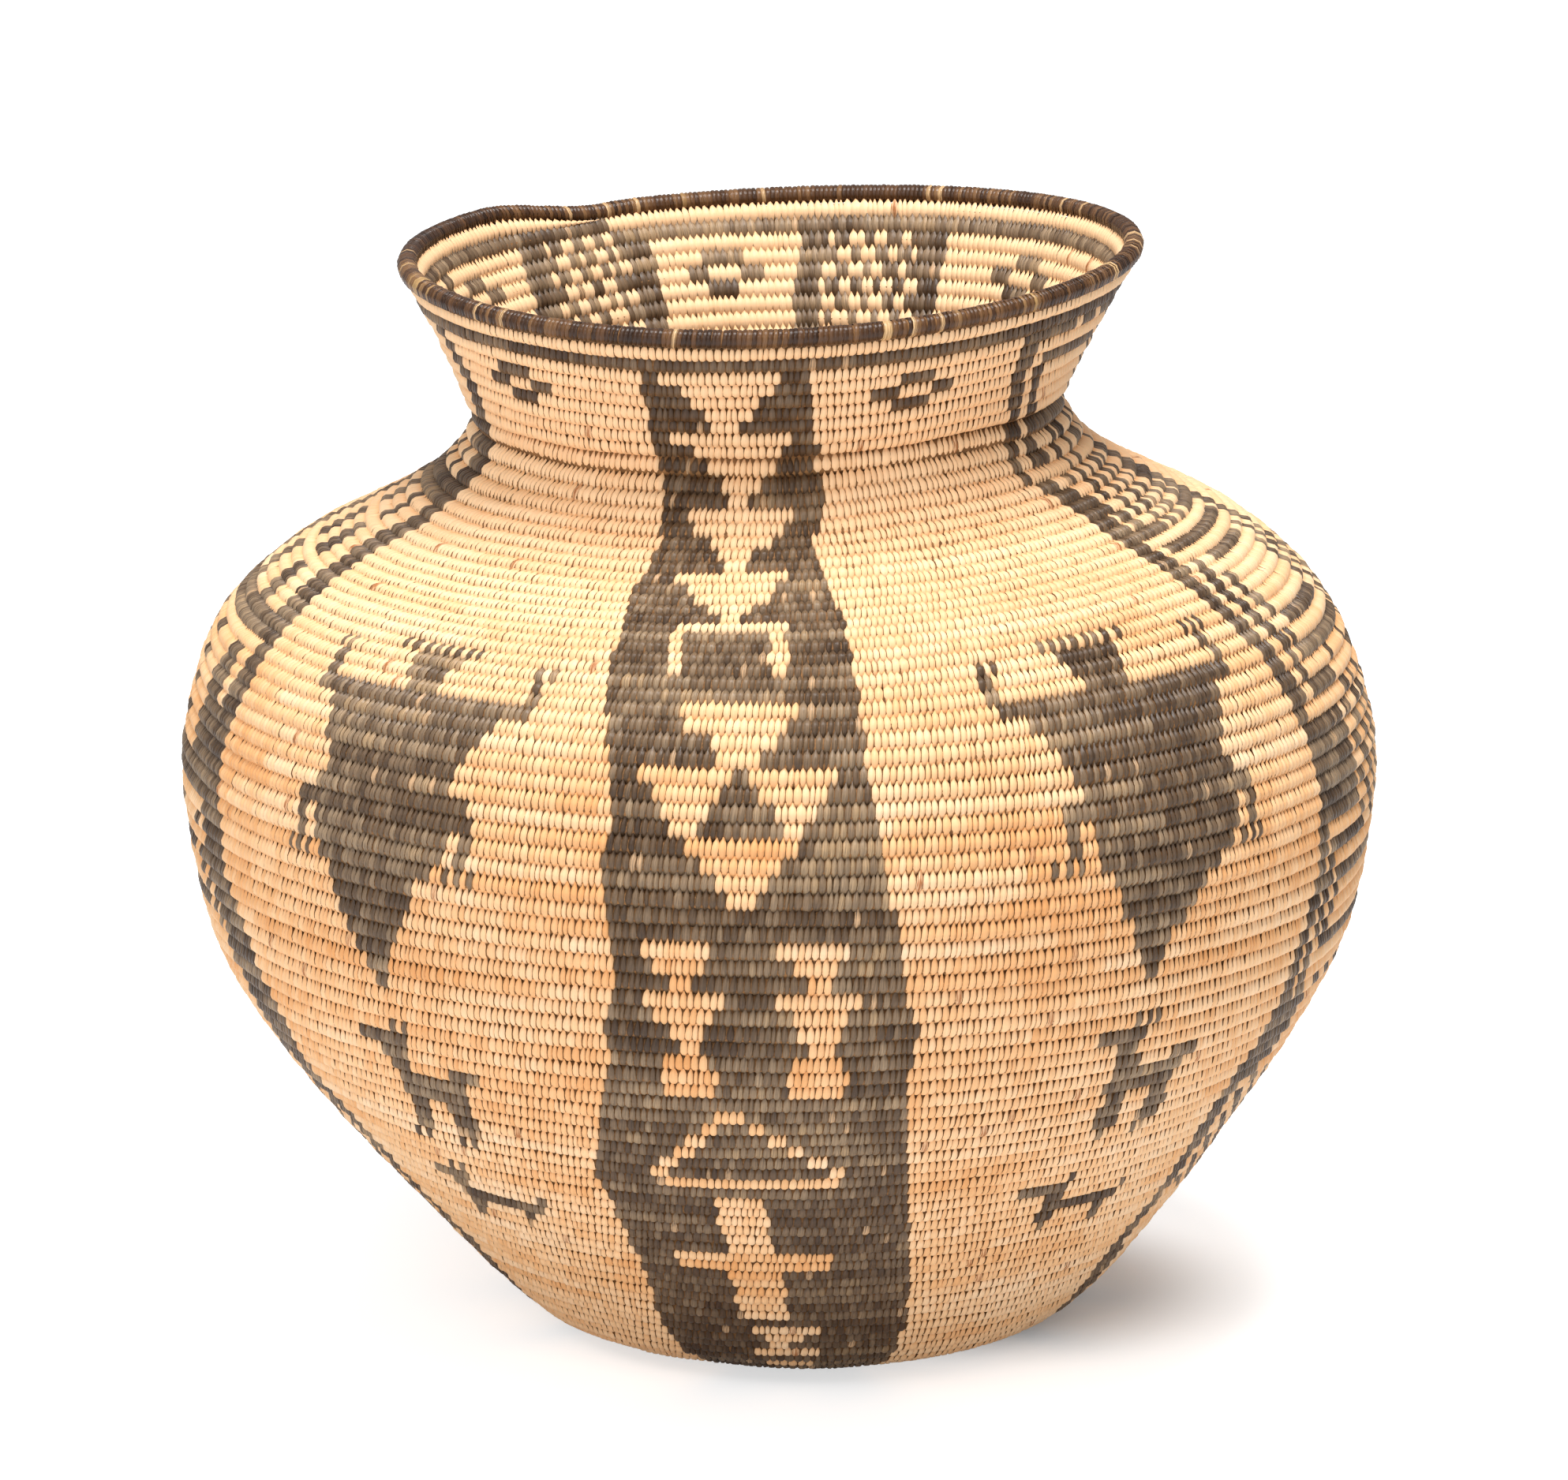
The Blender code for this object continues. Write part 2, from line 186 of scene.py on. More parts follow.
PROFILE, LENGTHS = profile_line()
RIM_LENGTH = LENGTHS[-1]
BODY_LENGTH = RIM_LENGTH - RIM_DIAMETER / 2 - SEAT_GAP
# The profile runs on beyond the rim in a straight line, far enough for the rim's own coil
BEYOND = 4 * RIM_DIAMETER
END_WAY = (PROFILE[-1] - PROFILE[-2]) / np.linalg.norm(PROFILE[-1] - PROFILE[-2])
PROFILE = np.vstack((PROFILE, PROFILE[-1] + END_WAY * BEYOND))
LENGTHS = np.append(LENGTHS, RIM_LENGTH + BEYOND)
STEP_WAYS = np.diff(PROFILE, axis=0) / np.diff(LENGTHS)[:, None]
STEP_MIDDLES = (LENGTHS[:-1] + LENGTHS[1:]) / 2


def pitch_at(length):
    shares, pitches = zip(*PITCH_SHARES)
    return COIL_PITCH * np.interp(length / RIM_LENGTH, shares, pitches)


def cell_lengths():
    """Length along the profile at each cell, of which a turn has COLUMNS."""
    lengths = [0.0]
    while lengths[-1] < RIM_LENGTH + 2 * COIL_PITCH:
        lengths.append(lengths[-1] + pitch_at(lengths[-1]) / COLUMNS)
    return np.array(lengths)


CELL_LENGTHS = cell_lengths()
LAST_CELL = int(np.sum(CELL_LENGTHS + pitch_at(CELL_LENGTHS) / 2 < BODY_LENGTH))
LAST_TURN = LAST_CELL / COLUMNS
TURNS = np.arange(len(CELL_LENGTHS)) / COLUMNS


def length_at(turn):
    return np.interp(turn, TURNS, CELL_LENGTHS)


def azimuth_at(turn):
    return END_AZIMUTH + 2 * math.pi * (LAST_TURN - turn)


def top_edge(turn):
    """Length at the upper edge of the course that starts at this turn. The last one runs out."""
    share = smooth_step((LAST_TURN - turn) * COLUMNS / RUN_OUT_COLUMNS)
    low = length_at(turn)
    return low + (length_at(turn + 1) - low) * share


def radius_at(length):
    return np.interp(length, LENGTHS, PROFILE[:, 0])


# Hand work: slow waves in the wall, courses that rise and fall, a coil that stands a little in or out
WAVES = (
    # height in metres, waves round the basket, waves in a metre of profile, phase
    (0.00020, 3, 2.1, 0.4), (0.00014, 5, -4.3, 1.9), (0.00010, 8, 7.7, 4.1), (0.00008, 13, -12.0, 2.6),
)
COURSE_WAVES = (
    (0.00028, 4, 3.0, 2.2), (0.00022, 7, -9.0, 0.9), (0.00016, 11, 14.0, 5.0),
)
# The waves fade out over the base, and below the rim
BASE_FADE = 0.10
RIM_FADE = 0.02
# Height in metres, waves in a turn, phase
COIL_WAVES = ((0.00016, 3.37, 0.6), (0.00012, 7.91, 2.3), (0.00008, 17.3, 4.4))


def waves(table, azimuth, length):
    total = 0.0
    for height, around, along, phase in table:
        total = total + height * np.sin(around * azimuth + 2 * math.pi * along * length + phase)
    return total


def place(azimuth, length, depth):
    """Points of the wall, as rows of x, y, z: their azimuth, length along the profile, and depth."""
    azimuth, length, depth = np.broadcast_arrays(azimuth, length, depth)
    sides = smooth_step(length / BASE_FADE) * smooth_step((RIM_LENGTH - length) / RIM_FADE)
    depth = depth - waves(WAVES, azimuth, length) * sides
    length = length + waves(COURSE_WAVES, azimuth, length) * sides
    radius = np.interp(length, LENGTHS, PROFILE[:, 0])
    height = np.interp(length, LENGTHS, PROFILE[:, 1])
    out_way = np.interp(length, STEP_MIDDLES, STEP_WAYS[:, 0])
    up_way = np.interp(length, STEP_MIDDLES, STEP_WAYS[:, 1])
    radius = radius - depth * up_way
    height = np.maximum(0.0, height + depth * out_way)
    return lean(radius * np.sin(azimuth), -radius * np.cos(azimuth), height)


def lean(x, y, z):
    """The basket's lean: foot to one side, neck tipped, mouth warped and folded."""
    level = z / HEIGHT
    azimuth = np.arctan2(x, -y)
    off_fold = (azimuth - FOLD_AZIMUTH + math.pi) % (2 * math.pi) - math.pi
    fold = smooth_step(1.0 - np.abs(off_fold) / FOLD_HALF_WIDTH)
    fold = fold * smooth_step((level - FOLD_LEVEL_SHARE) / (1.0 - FOLD_LEVEL_SHARE)) * FOLD_DEPTH
    tip = smooth_step((level - LEAN_LEVEL_SHARES[0]) / (LEAN_LEVEL_SHARES[1] - LEAN_LEVEL_SHARES[0]))
    foot = 1.0 - smooth_step(level / FOOT_SHIFT_LEVEL_SHARE)
    warp = smooth_step((level - WARP_LEVEL_SHARE) / (1.0 - WARP_LEVEL_SHARE))
    drop = BACK_RISE * np.cos(azimuth) + SIDE_RISE * np.cos(2 * azimuth)
    return np.stack((
        x - fold * np.sin(azimuth) + foot * FOOT_SHIFT + tip * NECK_SHIFT + warp * MOUTH_SHIFT,
        y + fold * np.cos(azimuth),
        z + tip * LEAN_RISE * x / MOUTH_RADIUS - warp * drop,
    ), axis=-1)


def coil_offset(turn):
    """How far the coil stands in or out of the wall at this turn."""
    total = 0.0
    for height, per_turn, phase in COIL_WAVES:
        total = total + height * np.sin(2 * math.pi * per_turn * turn + phase)
    return total


def unit(rows):
    return rows / np.maximum(np.linalg.norm(rows, axis=-1, keepdims=True), 1e-9)


# The pattern: courses from the rim down, and degrees of azimuth

FRONT_EDGES = (
    # course, left and right edge of the dark panel in front
    (3, -21.5, 6.5), (5, -21.5, 7.5), (9, -21.5, 9), (12, -19.5, 10), (15, -17, 7.5), (20, -19, 8),
    (23, -18, 9), (28, -17.5, 9), (34, -16, 8.5), (36, -15.5, 9), (40, -16.5, 10), (46, -15, 11.5),
    (49, -16.5, 13), (52, -16.5, 12.5), (57, -19.5, 13.5), (60, -21.5, 14), (64, -21.5, 14.5),
    (70, -22, 16), (75, -23, 17), (78, -25, 17.5), (82, -23.5, 17.5), (91, -16, 12),
)
# A pair of small marks side by side: half a wedge on another, on a foot of two courses
MARK_LEFT = (
    (-12.5, -6), (-11.5, -7), (-10, -8), (-13, -5), (-11.5, -6),
    (-10.5, -7), (-9.5, -7.5), (-11, -6.5), (-11.5, -6), (-11.5, -6),
)
MARK_SHIFT = 12.5
MARK_RIGHT = [(start + MARK_SHIFT, end + MARK_SHIFT) for start, end in MARK_LEFT]
SPARSE = "every other stitch"
CHECKS = "checks, a course high"
CHECK_WIDTH = 2.3


def stacked(*stacks):
    """Spans by course, from stacks. Each is a first course and a span for each course from there down."""
    table = {}
    for first, *spans in stacks:
        for course, span in enumerate(spans, first):
            table.setdefault(course, []).append(span)
    return table


# Light stitches in the dark panel in front
FRONT_LIGHTS = stacked(
    # Four stepped wedges, then two upright bars that hang from a short course
    (3, (-18.5, 2), (-15.5, 1), (-13.5, -1.5), (-11, -3.5), (-10, -5.5)),
    (8, (-18, 4.5), (-14.5, 3), (-12, 2), (-9, -1), (-6.5, -3)),
    (13, (-14, 4.5), (-12, 2.5), (-9.5, 0.5), (-8, -2.5), (-7, -3.5)),
    (18, (-13, 3), (-11, 1.5), (-10, 0), (-8, -2), (-6, -3.5)),
    (23, (-11.5, 2)), (24, *[(-11.5, -10)] * 4), (24, *[(0, 2)] * 4),
    # A wedge over two small ones over another, and the two marks
    (30, (-9.5, 3), (-8.5, 1.5), (-6.5, 0), (-5.5, -1.5)),
    (34, (-13, -4.5), (-12, -5.5), (-11, -6.5), (-10, -7.5)),
    (34, (-2.5, 6), (-1.5, 5), (-0.5, 3.5), (0.5, 2.5)),
    (38, (-9, 2), (-7, 0), (-6, -1), (-5, -2)),
    (44, *MARK_LEFT), (44, *MARK_RIGHT),
    # An outlined triangle, a cross, and a small wedge on a foot
    (55, (-6.5, -3.5), (-8, -6.5), (-10, -8), (-11.5, -9.5), (-13.5, -11.5), (-15, -13), (-14, 6.5)),
    (56, (-3.5, -1.5), (-1.5, 0.5), (0.5, 2.5), (2.5, 5), (5, 7)),
    (63, *[(-8.5, -2.5)] * 6, *[(-16, 5)] * 2, *[(-9.5, -2)] * 6),
    (78, (-9, 3), (-7, 0.5), (-6.5, -2), (-9.5, 3)), (83, (-8, 2)),
)
# Figures with a feathered crown and raised hands: crown, head and body, then the hands and the feet
HUMAN_LEFT = stacked(
    (27, (-45, -33.5, SPARSE), (-42.5, -35), (-41.5, -36.5), (-41, -37), (-53, -25), (-50, -28.5),
     (-49.5, -30), (-49, -31), (-48, -32), (-47.5, -32.5), (-49, -30), (-51, -29.5), (-48.5, -32),
     (-48, -32.5), (-47.5, -34), (-46, -35.5), (-45.5, -36), (-45, -37), (-44, -38), (-43.5, -39),
     (-42, -39.5), (-41.5, -40)),
    (28, (-54, -51, SPARSE), (-53.5, -52), (-53, -51.5)),
    (28, (-26, -23, SPARSE), (-25.5, -24.5), (-26, -24.5)),
    (39, (-51, -49.5), (-51, -49.5), (-52, -48.5, SPARSE)),
    (39, (-31, -29.5), (-31, -30), (-33, -28.5, SPARSE)),
)
HUMAN_RIGHT = stacked(
    (27, (30, 41.5, SPARSE), (32, 40), (33, 39), (33.5, 39), (22.5, 53), (25.5, 49.5), (27, 49),
     (28, 48), (29, 47.5), (29.5, 48), (27, 50.5), (30.5, 48), (30.5, 47.5), (31, 46.5), (32, 45),
     (33, 43), (33.5, 42), (34.5, 41), (35, 39.5), (36, 38.5), (36.5, 38)),
    (28, (21, 24.5, SPARSE), (22, 23.5), (22, 23.5)),
    (28, (50, 53.5, SPARSE), (51, 52.5), (52, 53)),
    (38, (27.5, 29), (27.5, 29), (25.5, 29, SPARSE)),
    (38, (49, 50.5), (49, 50.5), (47.5, 51.5, SPARSE)),
)
# Deer and dogs: antlers or ears down to the front leg, then the tail and the back leg
DEER_LEFT = stacked(
    (51, (-42, -38.5, SPARSE), (-45.5, -39.5), (-43, -40), (-43, -40.5), (-43, -33.5), (-43, -34),
     (-43, -40.5), (-43.5, -41), (-44.5, -41.5), (-45.5, -42.5, SPARSE)),
    (54, (-35.5, -31.5)), (57, (-38, -35), (-38, -34.5), (-38.5, -35), (-39, -36, SPARSE)),
)
DEER_RIGHT = stacked(
    (50, (36, 39.5, SPARSE), (32.5, 38.5), (35, 38), (35.5, 38.5), (35.5, 45.5), (35.5, 45),
     (36, 39), (35.5, 39), (36, 39), (36, 38.5, SPARSE)),
    (53, (42.5, 46.5)), (56, (42, 45), (42, 45.5), (41.5, 45.5), (42, 44.5, SPARSE)),
)
DOG_LEFT = stacked(
    (63, (-44.5, -41.5, SPARSE), (-48.5, -42.5), (-46, -43.5), (-46, -32.5), (-46.5, -43.5),
     (-46.5, -45)),
    (65, (-33, -31.5)), (67, (-37, -35), (-37.5, -36.5)),
)
DOG_RIGHT = stacked(
    (63, (34.5, 37, SPARSE), (29.5, 36.5), (33, 36), (33.5, 46), (33.5, 36), (34.5, 35.5)),
    (65, (46, 47)), (67, (42.5, 44.5), (43.5, 44.5)),
)
FIGURES = (
    # figure, and by how many degrees it is shifted for each place that it has
    (HUMAN_LEFT, (0, -83, -143.5)), (DEER_LEFT, (0, -79)), (DOG_LEFT, (0, -78, -141)),
    (HUMAN_RIGHT, (0, 78)), (DEER_RIGHT, (0, 75, 139)), (DOG_RIGHT, (0, 76)),
)
DIAMOND_AZIMUTHS = (-171, -114, -48, 25, 126)
DIAMOND_SPANS = stacked((4, (0, 3.4), (2.9, 7.4), (0, 3.2)))

# Panels at the two sides: the azimuth of their front edge, and dark spans in degrees behind it
ALL = 99
SIDE_WIDTH = 38
RIGHT_EDGES = (
    (3, 46.5), (6, 48), (9, 51.5), (10, 52.5), (12, 50.5), (13, 51), (15, 55), (20, 56), (27, 57),
    (31, 59), (34, 60.5), (38, 62), (45, 62), (50, 60), (55, 60), (60, 58.5), (70, 59), (75, 57.5),
    (79, 59.5), (91, 64),
)
LEFT_EDGES = (
    (3, -67.5), (7, -65.5), (10, -68.5), (12, -65), (15, -67.5), (17, -66.5), (20, -69), (24, -67.5),
    (28, -65.5), (33, -65), (36, -66.5), (39, -67.5), (42, -66), (45, -66), (48, -63.5), (52, -62),
    (54, -61.5), (58, -63.5), (62, -62.5), (72, -62), (76, -61.5), (80, -64), (91, -68),
)
RIGHT_SPANS = (
    # course from which the row holds, spans
    (3, (0, 14), (16, 19), (22, ALL)), (4, (0, 4)), (5, (0, 4), (6.5, ALL)), (6, (0, 3.5), (6, 8.5)),
    (9, (0, 4.5), (6.5, 10)), (10, (0, 4.5), (6.5, ALL)), (11, (0, 3.5), (6, 9), (15.5, 18.5)),
    (12, (0, 2.5), (6, 11.5), (15, 17), (19, ALL)), (13, (0, 2.5), (13, ALL, CHECKS)),
    (14, (0, 6), (9, ALL, CHECKS)), (16, (0, 8.5), (10.5, ALL, CHECKS)),
    (18, (0, 5), (6.5, 9.5), (11.5, ALL, CHECKS)), (20, (0, 13.5), (15.5, ALL, CHECKS)), (21, (0, 4)),
    (22, (0, 4), (6, ALL)), (23, (0, 4)), (24, (0, 4), (6, 8.5), (11.5, ALL)), (25, (0, 3), (5, 7.5)),
    (26, (0, 3), (4.5, 6.5), (8.5, 10.5)), (30, (0, 3), (5, 7), (11, ALL)), (31, (0, 3), (5, 7), (8, 9)),
    (32, (0, 3), (4.5, 6.5), (7.5, ALL)), (33, (0, 3), (4.5, 6), (14, 15.5)), (34, (0, 3), (5, 12.5)),
    (35, (0, 2.5), (11.5, ALL, CHECKS)), (36, (0, 10.5), (11.5, ALL, CHECKS)),
    (42, (0, 2), (11.5, ALL, CHECKS)), (43, (0, 2), (3, 14), (16, ALL, CHECKS)), (44, (0, 2), (2.5, 4.5)),
    (45, (0, 2), (2.5, 4.5), (5, ALL)), (46, (0, 2), (3, 4.5), (5.5, 7)), (49, (0, 2), (2.5, 4), (5.5, ALL)),
    (50, (0, 2), (3, 5)), (52, (0, 3), (4, ALL, CHECKS)), (53, (0, 8.5)), (58, (0, 6.5)),
    (59, (0, 4), (5.5, ALL, CHECKS)), (70, (0, 4.5)), (75, (0, 7.5)),
)
LEFT_SPANS = (
    # course from which the row holds, spans
    (3, (0, 4.5)), (10, (0, ALL)), (11, (0, 13)), (12, (0, 8.5), (13, 16)), (14, (0, ALL)),
    (16, (0, 5.5), (12, 15.5), (21, ALL)), (19, (0, 6)), (20, (0, 5.5), (12, 16)), (21, (0, 5), (11.5, 16)),
    (24, (0, 5.5)), (25, (0, 5.5), (11, 15), (20, ALL)), (29, (0, ALL)), (31, (0, 2.5)),
    (32, (0, 3.5), (6, 9.5), (17, ALL)), (33, (0, 3.5), (6, 10.5)), (34, (0, 3.5), (6, 11), (17, ALL)),
    (35, (0, 4), (6, 10.5)), (36, (0, 10.5), (17, ALL)), (37, (0, 10.5)), (38, (0, 10.5), (17, ALL)),
    (39, (0, 10.5)), (40, (0, ALL)), (42, (0, 6)), (43, (0, 6), (7.5, 9.5), (16, ALL)), (44, (0, 5.5)),
    (45, (0, 9), (10.5, ALL)), (46, (0, 7), (8.5, 10)), (48, (0, 6.5), (7.5, 9), (10, ALL)),
    (49, (0, 6.5), (7.5, 9)), (50, (0, 7.5)), (58, (0, 6), (7, ALL)), (59, (0, 6)),
    (61, (0, 4), (5, ALL, CHECKS)), (70, (0, 4), (6, ALL)), (75, (0, 7.5)),
)

# Panels at the back, sewn like the one in front, with checks at the neck
BACK_PANELS = (((3, 163), (14, 160), (30, 148)), ((3, -141.5), (14, -144), (30, -153)))
CHECKER_ROWS = 12
CHECKER_EDGE = 5
FRONT_MIDDLE = -5
LAST_PANEL_COURSE = 91


def off(azimuth, centre):
    return (azimuth - centre + 180.0) % 360.0 - 180.0


def table_at(table, course, column=1):
    return float(np.interp(course, [row[0] for row in table], [row[column] for row in table]))


def in_check(value, course):
    return (math.floor(value / CHECK_WIDTH) + course) % 2 == 0


def in_spans(spans, value, course, stitch):
    """Whether the value lies in a span, and for this course and stitch also in the span's kind."""
    for start, end, *kind in spans:
        if start <= value < end:
            if CHECKS in kind:
                return in_check(value - start, course)
            return SPARSE not in kind or stitch % 2 == 0
    return False


def is_dark(course, azimuth, stitch):
    """Whether the stitch of this number is dark, at its course and azimuth in degrees."""
    if course in (1, 2):
        return course == 2
    if course > LAST_PANEL_COURSE:
        return False
    left, right = table_at(FRONT_EDGES, course, 1), table_at(FRONT_EDGES, course, 2)
    if left <= azimuth < right:
        return not in_spans(FRONT_LIGHTS.get(course, ()), azimuth, course, stitch)
    for edges, rows, way in ((RIGHT_EDGES, RIGHT_SPANS, 1), (LEFT_EDGES, LEFT_SPANS, -1)):
        behind = way * off(azimuth, table_at(edges, course))
        if 0.0 <= behind <= SIDE_WIDTH:
            # Each row holds down to the next, and the panel is mirrored about its middle
            spans = [row[1:] for row in rows if row[0] <= course][-1]
            return in_spans(spans, min(behind, SIDE_WIDTH - behind), course, stitch)
    for centres in BACK_PANELS:
        across = off(azimuth, table_at(centres, course)) + FRONT_MIDDLE
        if not left <= across < right:
            continue
        if course > CHECKER_ROWS:
            return not in_spans(FRONT_LIGHTS.get(course, ()), across, course, stitch)
        if min(across - left, right - across) < CHECKER_EDGE:
            return True
        return in_check(across, course)
    diamonds = [(DIAMOND_SPANS, abs(off(azimuth, centre))) for centre in DIAMOND_AZIMUTHS]
    figures = [(figure, off(azimuth, shift)) for figure, shifts in FIGURES for shift in shifts]
    return any(in_spans(table.get(course, ()), at, course, stitch) for table, at in diamonds + figures)


# Stitches: each goes in between two stitches of the course below

def girth_at(turn):
    return 2 * math.pi * max(radius_at(length_at(turn)), COIL_PITCH)


def stitch_turns(draws):
    """The place of every stitch along the spiral, in turns from the knot."""
    turn = 1.0
    turns = []
    while turn < 2.0:
        turns.append(turn)
        turn += STITCH_PITCH / girth_at(turn)
    below = 0
    surplus = 0.0
    while turns[-1] < LAST_TURN:
        gap = turns[below + 1] - turns[below]
        slant = COIL_PITCH * math.tan(SLANT) / girth_at(turns[below])
        middle = turns[below] + gap / 2 + 1.0 - slant
        # A gap that has grown too wide takes two stitches, one that has become too narrow takes none
        span = gap * girth_at(middle - 0.5) / STITCH_PITCH
        surplus += span - 1.0
        nudge = draws.uniform(-NUDGE, NUDGE) * gap
        if surplus > 0.5 and span > 1.0 + SPAN_SLACK:
            turns += [middle - gap / 4 + nudge, middle + gap / 4 + nudge]
            surplus -= 1.0
        elif surplus < -0.5 and span < 1.0 - SPAN_SLACK:
            turns[-1] = max(turns[-1] + gap / 3, turns[-2] + gap / 4)
            surplus += 1.0
        else:
            turns.append(middle + nudge)
        below += 1
    return np.array([turn for turn in turns if turn < LAST_TURN])


class Sewing:
    """All the stitches of the wall, as arrays with one entry for each stitch."""

    def __init__(self):
        draws = random.Random(SEED)
        self.turns = stitch_turns(draws)
        count = len(self.turns)
        self.low = length_at(self.turns)
        self.high = top_edge(self.turns)
        self.middle = (self.low + self.high) / 2
        self.radius = radius_at(self.middle)
        # Neighbouring stitches touch halfway between their places
        gaps = np.diff(self.turns)
        before = self.turns - np.concatenate(([gaps[0]], gaps)) / 2
        after = self.turns + np.concatenate((gaps, [gaps[-1]])) / 2
        self.half_width = (after - before) * math.pi * self.radius
        self.azimuth = azimuth_at((before + after) / 2)
        self.course = np.floor(LAST_TURN - self.turns).astype(int) + 1
        degrees = off(np.degrees(self.azimuth), 0.0)
        self.dark = np.array([is_dark(int(self.course[i]), float(degrees[i]), i) for i in range(count)])
        self.tone = np.array([draws.random() for _ in range(count)])
        self.splint = self.splint_tones(draws)
        noise = np.random.default_rng(SEED)
        self.width_share = noise.normal(1.0, WIDTH_SPREAD, count)
        self.length_share = noise.normal(1.0, LENGTH_SPREAD, count)
        self.rise = noise.normal(0.0, RISE_SPREAD, count)

    def splint_tones(self, draws):
        """One splint sews a run of stitches, so the shade changes splint by splint."""
        tones = []
        in_hand = {}
        for dark in map(bool, self.dark):
            tone, left = in_hand.get(dark, (None, 0))
            if not left:
                tone, left = draws.random(), draws.randint(*(DARK_SPLINT if dark else LIGHT_SPLINT))
            in_hand[dark] = tone, left - 1
            tones.append(tone)
        return np.array(tones)

    def picked(self, first, last, dark):
        return np.nonzero((self.turns >= first) & (self.turns < last) & (self.dark == dark))[0]


# Meshes

def mesh_of(name, verts, faces):
    mesh = bpy.data.meshes.new(name)
    mesh.from_pydata([tuple(map(float, vert)) for vert in verts], [], faces)
    return mesh


def add_object(name, data):
    item = bpy.data.objects.new(name, data)
    bpy.context.scene.collection.objects.link(item)
    return item


# A stitch over the coil: place along the course's height, width on the left and right, and depth,
# all as shares of the coil's pitch except the widths, which are shares of the stitch's own
STITCH_ROWS = (
    (-0.62, 0.00, 0.460), (-0.52, 0.66, 0.420), (-0.34, 0.81, 0.190), (-0.10, 0.90, 0.020),
    (0.16, 0.92, 0.010), (0.40, 0.82, 0.120), (0.60, 0.43, 0.205), (0.82, 0.00, 0.270),
)
PLAIN_ROWS = ((-0.62, 0.00, 0.400), (-0.32, 0.98, 0.150), (0.32, 0.96, 0.090), (0.76, 0.00, 0.260))
STITCH_EDGE_DEPTH = 0.120
RIM_EDGE_DEPTH = 0.10
STITCH_ACROSS = (-1.0, -0.42, 0.42, 1.0)
PLAIN_ACROSS = (-1.0, 0.0, 1.0)


def leaf(name, rows, across, point_of):
    """A leaf-shaped splint from its rows. Its first and last row are points."""
    verts, faces, marks = [], [], []
    columns = len(across)
    for number, row in enumerate(rows):
        ends = number in (0, len(rows) - 1)
        for x in ((0.0,) if ends else across):
            verts.append(point_of(row, x))
            marks.append((0.5 + 0.5 * x * row[1], number / (len(rows) - 1)))
    tip = len(verts) - 1
    for column in range(columns - 1):
        faces.append((0, 2 + column, 1 + column))
        base = tip - columns + column
        faces.append((tip, base, base + 1))
    for number in range(len(rows) - 3):
        for column in range(columns - 1):
            a = 1 + number * columns + column
            faces.append((a, a + 1, a + 1 + columns, a + columns))
    mesh = mesh_of(name, verts, faces)
    layer = mesh.uv_layers.new(name="splint_map")
    for loop in mesh.loops:
        layer.data[loop.index].uv = marks[loop.vertex_index]
    mesh.shade_smooth()
    return add_object(name, mesh)


def over_coil(row, x):
    along, width, depth = row
    return x * width, along, -depth - STITCH_EDGE_DEPTH * x * x


def round_rim(row, x):
    angle, width, drop = row
    reach = 1.0 - drop - RIM_EDGE_DEPTH * x * x
    return x * width, reach * math.sin(math.radians(angle)), reach * math.cos(math.radians(angle))


# The rim's stitches: angle round the rim coil from straight outwards, width and drop
RIM_ROWS = (
    (-98, 0.0, 0.12), (-78, 0.70, 0.05), (-52, 0.96, 0.0), (-10, 0.97, 0.0),
    *((angle, 0.97, 0.0) for angle in range(34, 195, 40)),
    (228, 0.96, 0.0), (252, 0.70, 0.05), (270, 0.0, 0.12),
)


# Finishes

def colour(hex_code):
    """An sRGB hex colour as the linear colour that the shader wants."""
    values = [int(hex_code[i:i + 2], 16) / 255 for i in (1, 3, 5)]
    return tuple(v / 12.92 if v <= 0.04045 else ((v + 0.055) / 1.055) ** 2.4 for v in values) + (1.0,)


def feed(tree, node, inputs):
    """Sets a node's inputs: to a value, a hex colour, a node's first live output, or (node, output)."""
    for key, value in inputs.items():
        if isinstance(value, bpy.types.Node):
            value = value, next(number for number, out in enumerate(value.outputs) if out.enabled)
        if isinstance(value, tuple) and isinstance(value[0], bpy.types.Node):
            tree.links.new(value[0].outputs[value[1]], node.inputs[key])
        elif isinstance(value, str) and value.startswith("#"):
            node.inputs[key].default_value = colour(value)
        else:
            node.inputs[key].default_value = value


def add_node(tree, kind, settings=None, inputs=None, stops=()):
    """Adds a node with its settings, its inputs as feed takes them, and the stops of its ramp."""
    node = tree.nodes.new(kind)
    for key, value in (settings or {}).items():
        setattr(node, key, value)
    feed(tree, node, inputs or {})
    if stops:
        elements = node.color_ramp.elements
        while len(elements) < len(stops):
            elements.new(0.5)
        for element, (position, shade) in zip(elements, stops):
            element.position = position
            element.color = colour(shade) if isinstance(shade, str) else (shade, shade, shade, 1.0)
    return node


def new_material(name):
    material = bpy.data.materials.new(name)
    material.use_nodes = True
    tree = material.node_tree
    return material, tree, tree.nodes["Principled BSDF"]


# Sizes in metres that set the scale of the splints' grain: a stitch, its fibres, and patches of
# the wall that handling has changed alike
STITCH_LENGTH = 0.008
FIBRE_WIDTH = 0.0002667
FIBRE_LENGTH = 0.005
PATCH_SIZE = 0.07143
GRAIN_SIZE = 0.003846
# Far enough apart in the noise that no two stitches share their fibres
FIBRE_DRAWS = 97.0
# How much of the fresh colour (painted light on willow) and of the ends' colour (painted shade, with some
# dirt) shows at most
FRESH_AND_PAINTED_LIGHT_SHARE = 0.7
VALLEY_DIRT_AND_SHADE_SHARE = 0.75

MULTIPLY = {"operation": "MULTIPLY"}
# A mix of two colours has them on sockets 6 and 7
COLOURS = {"data_type": "RGBA"}


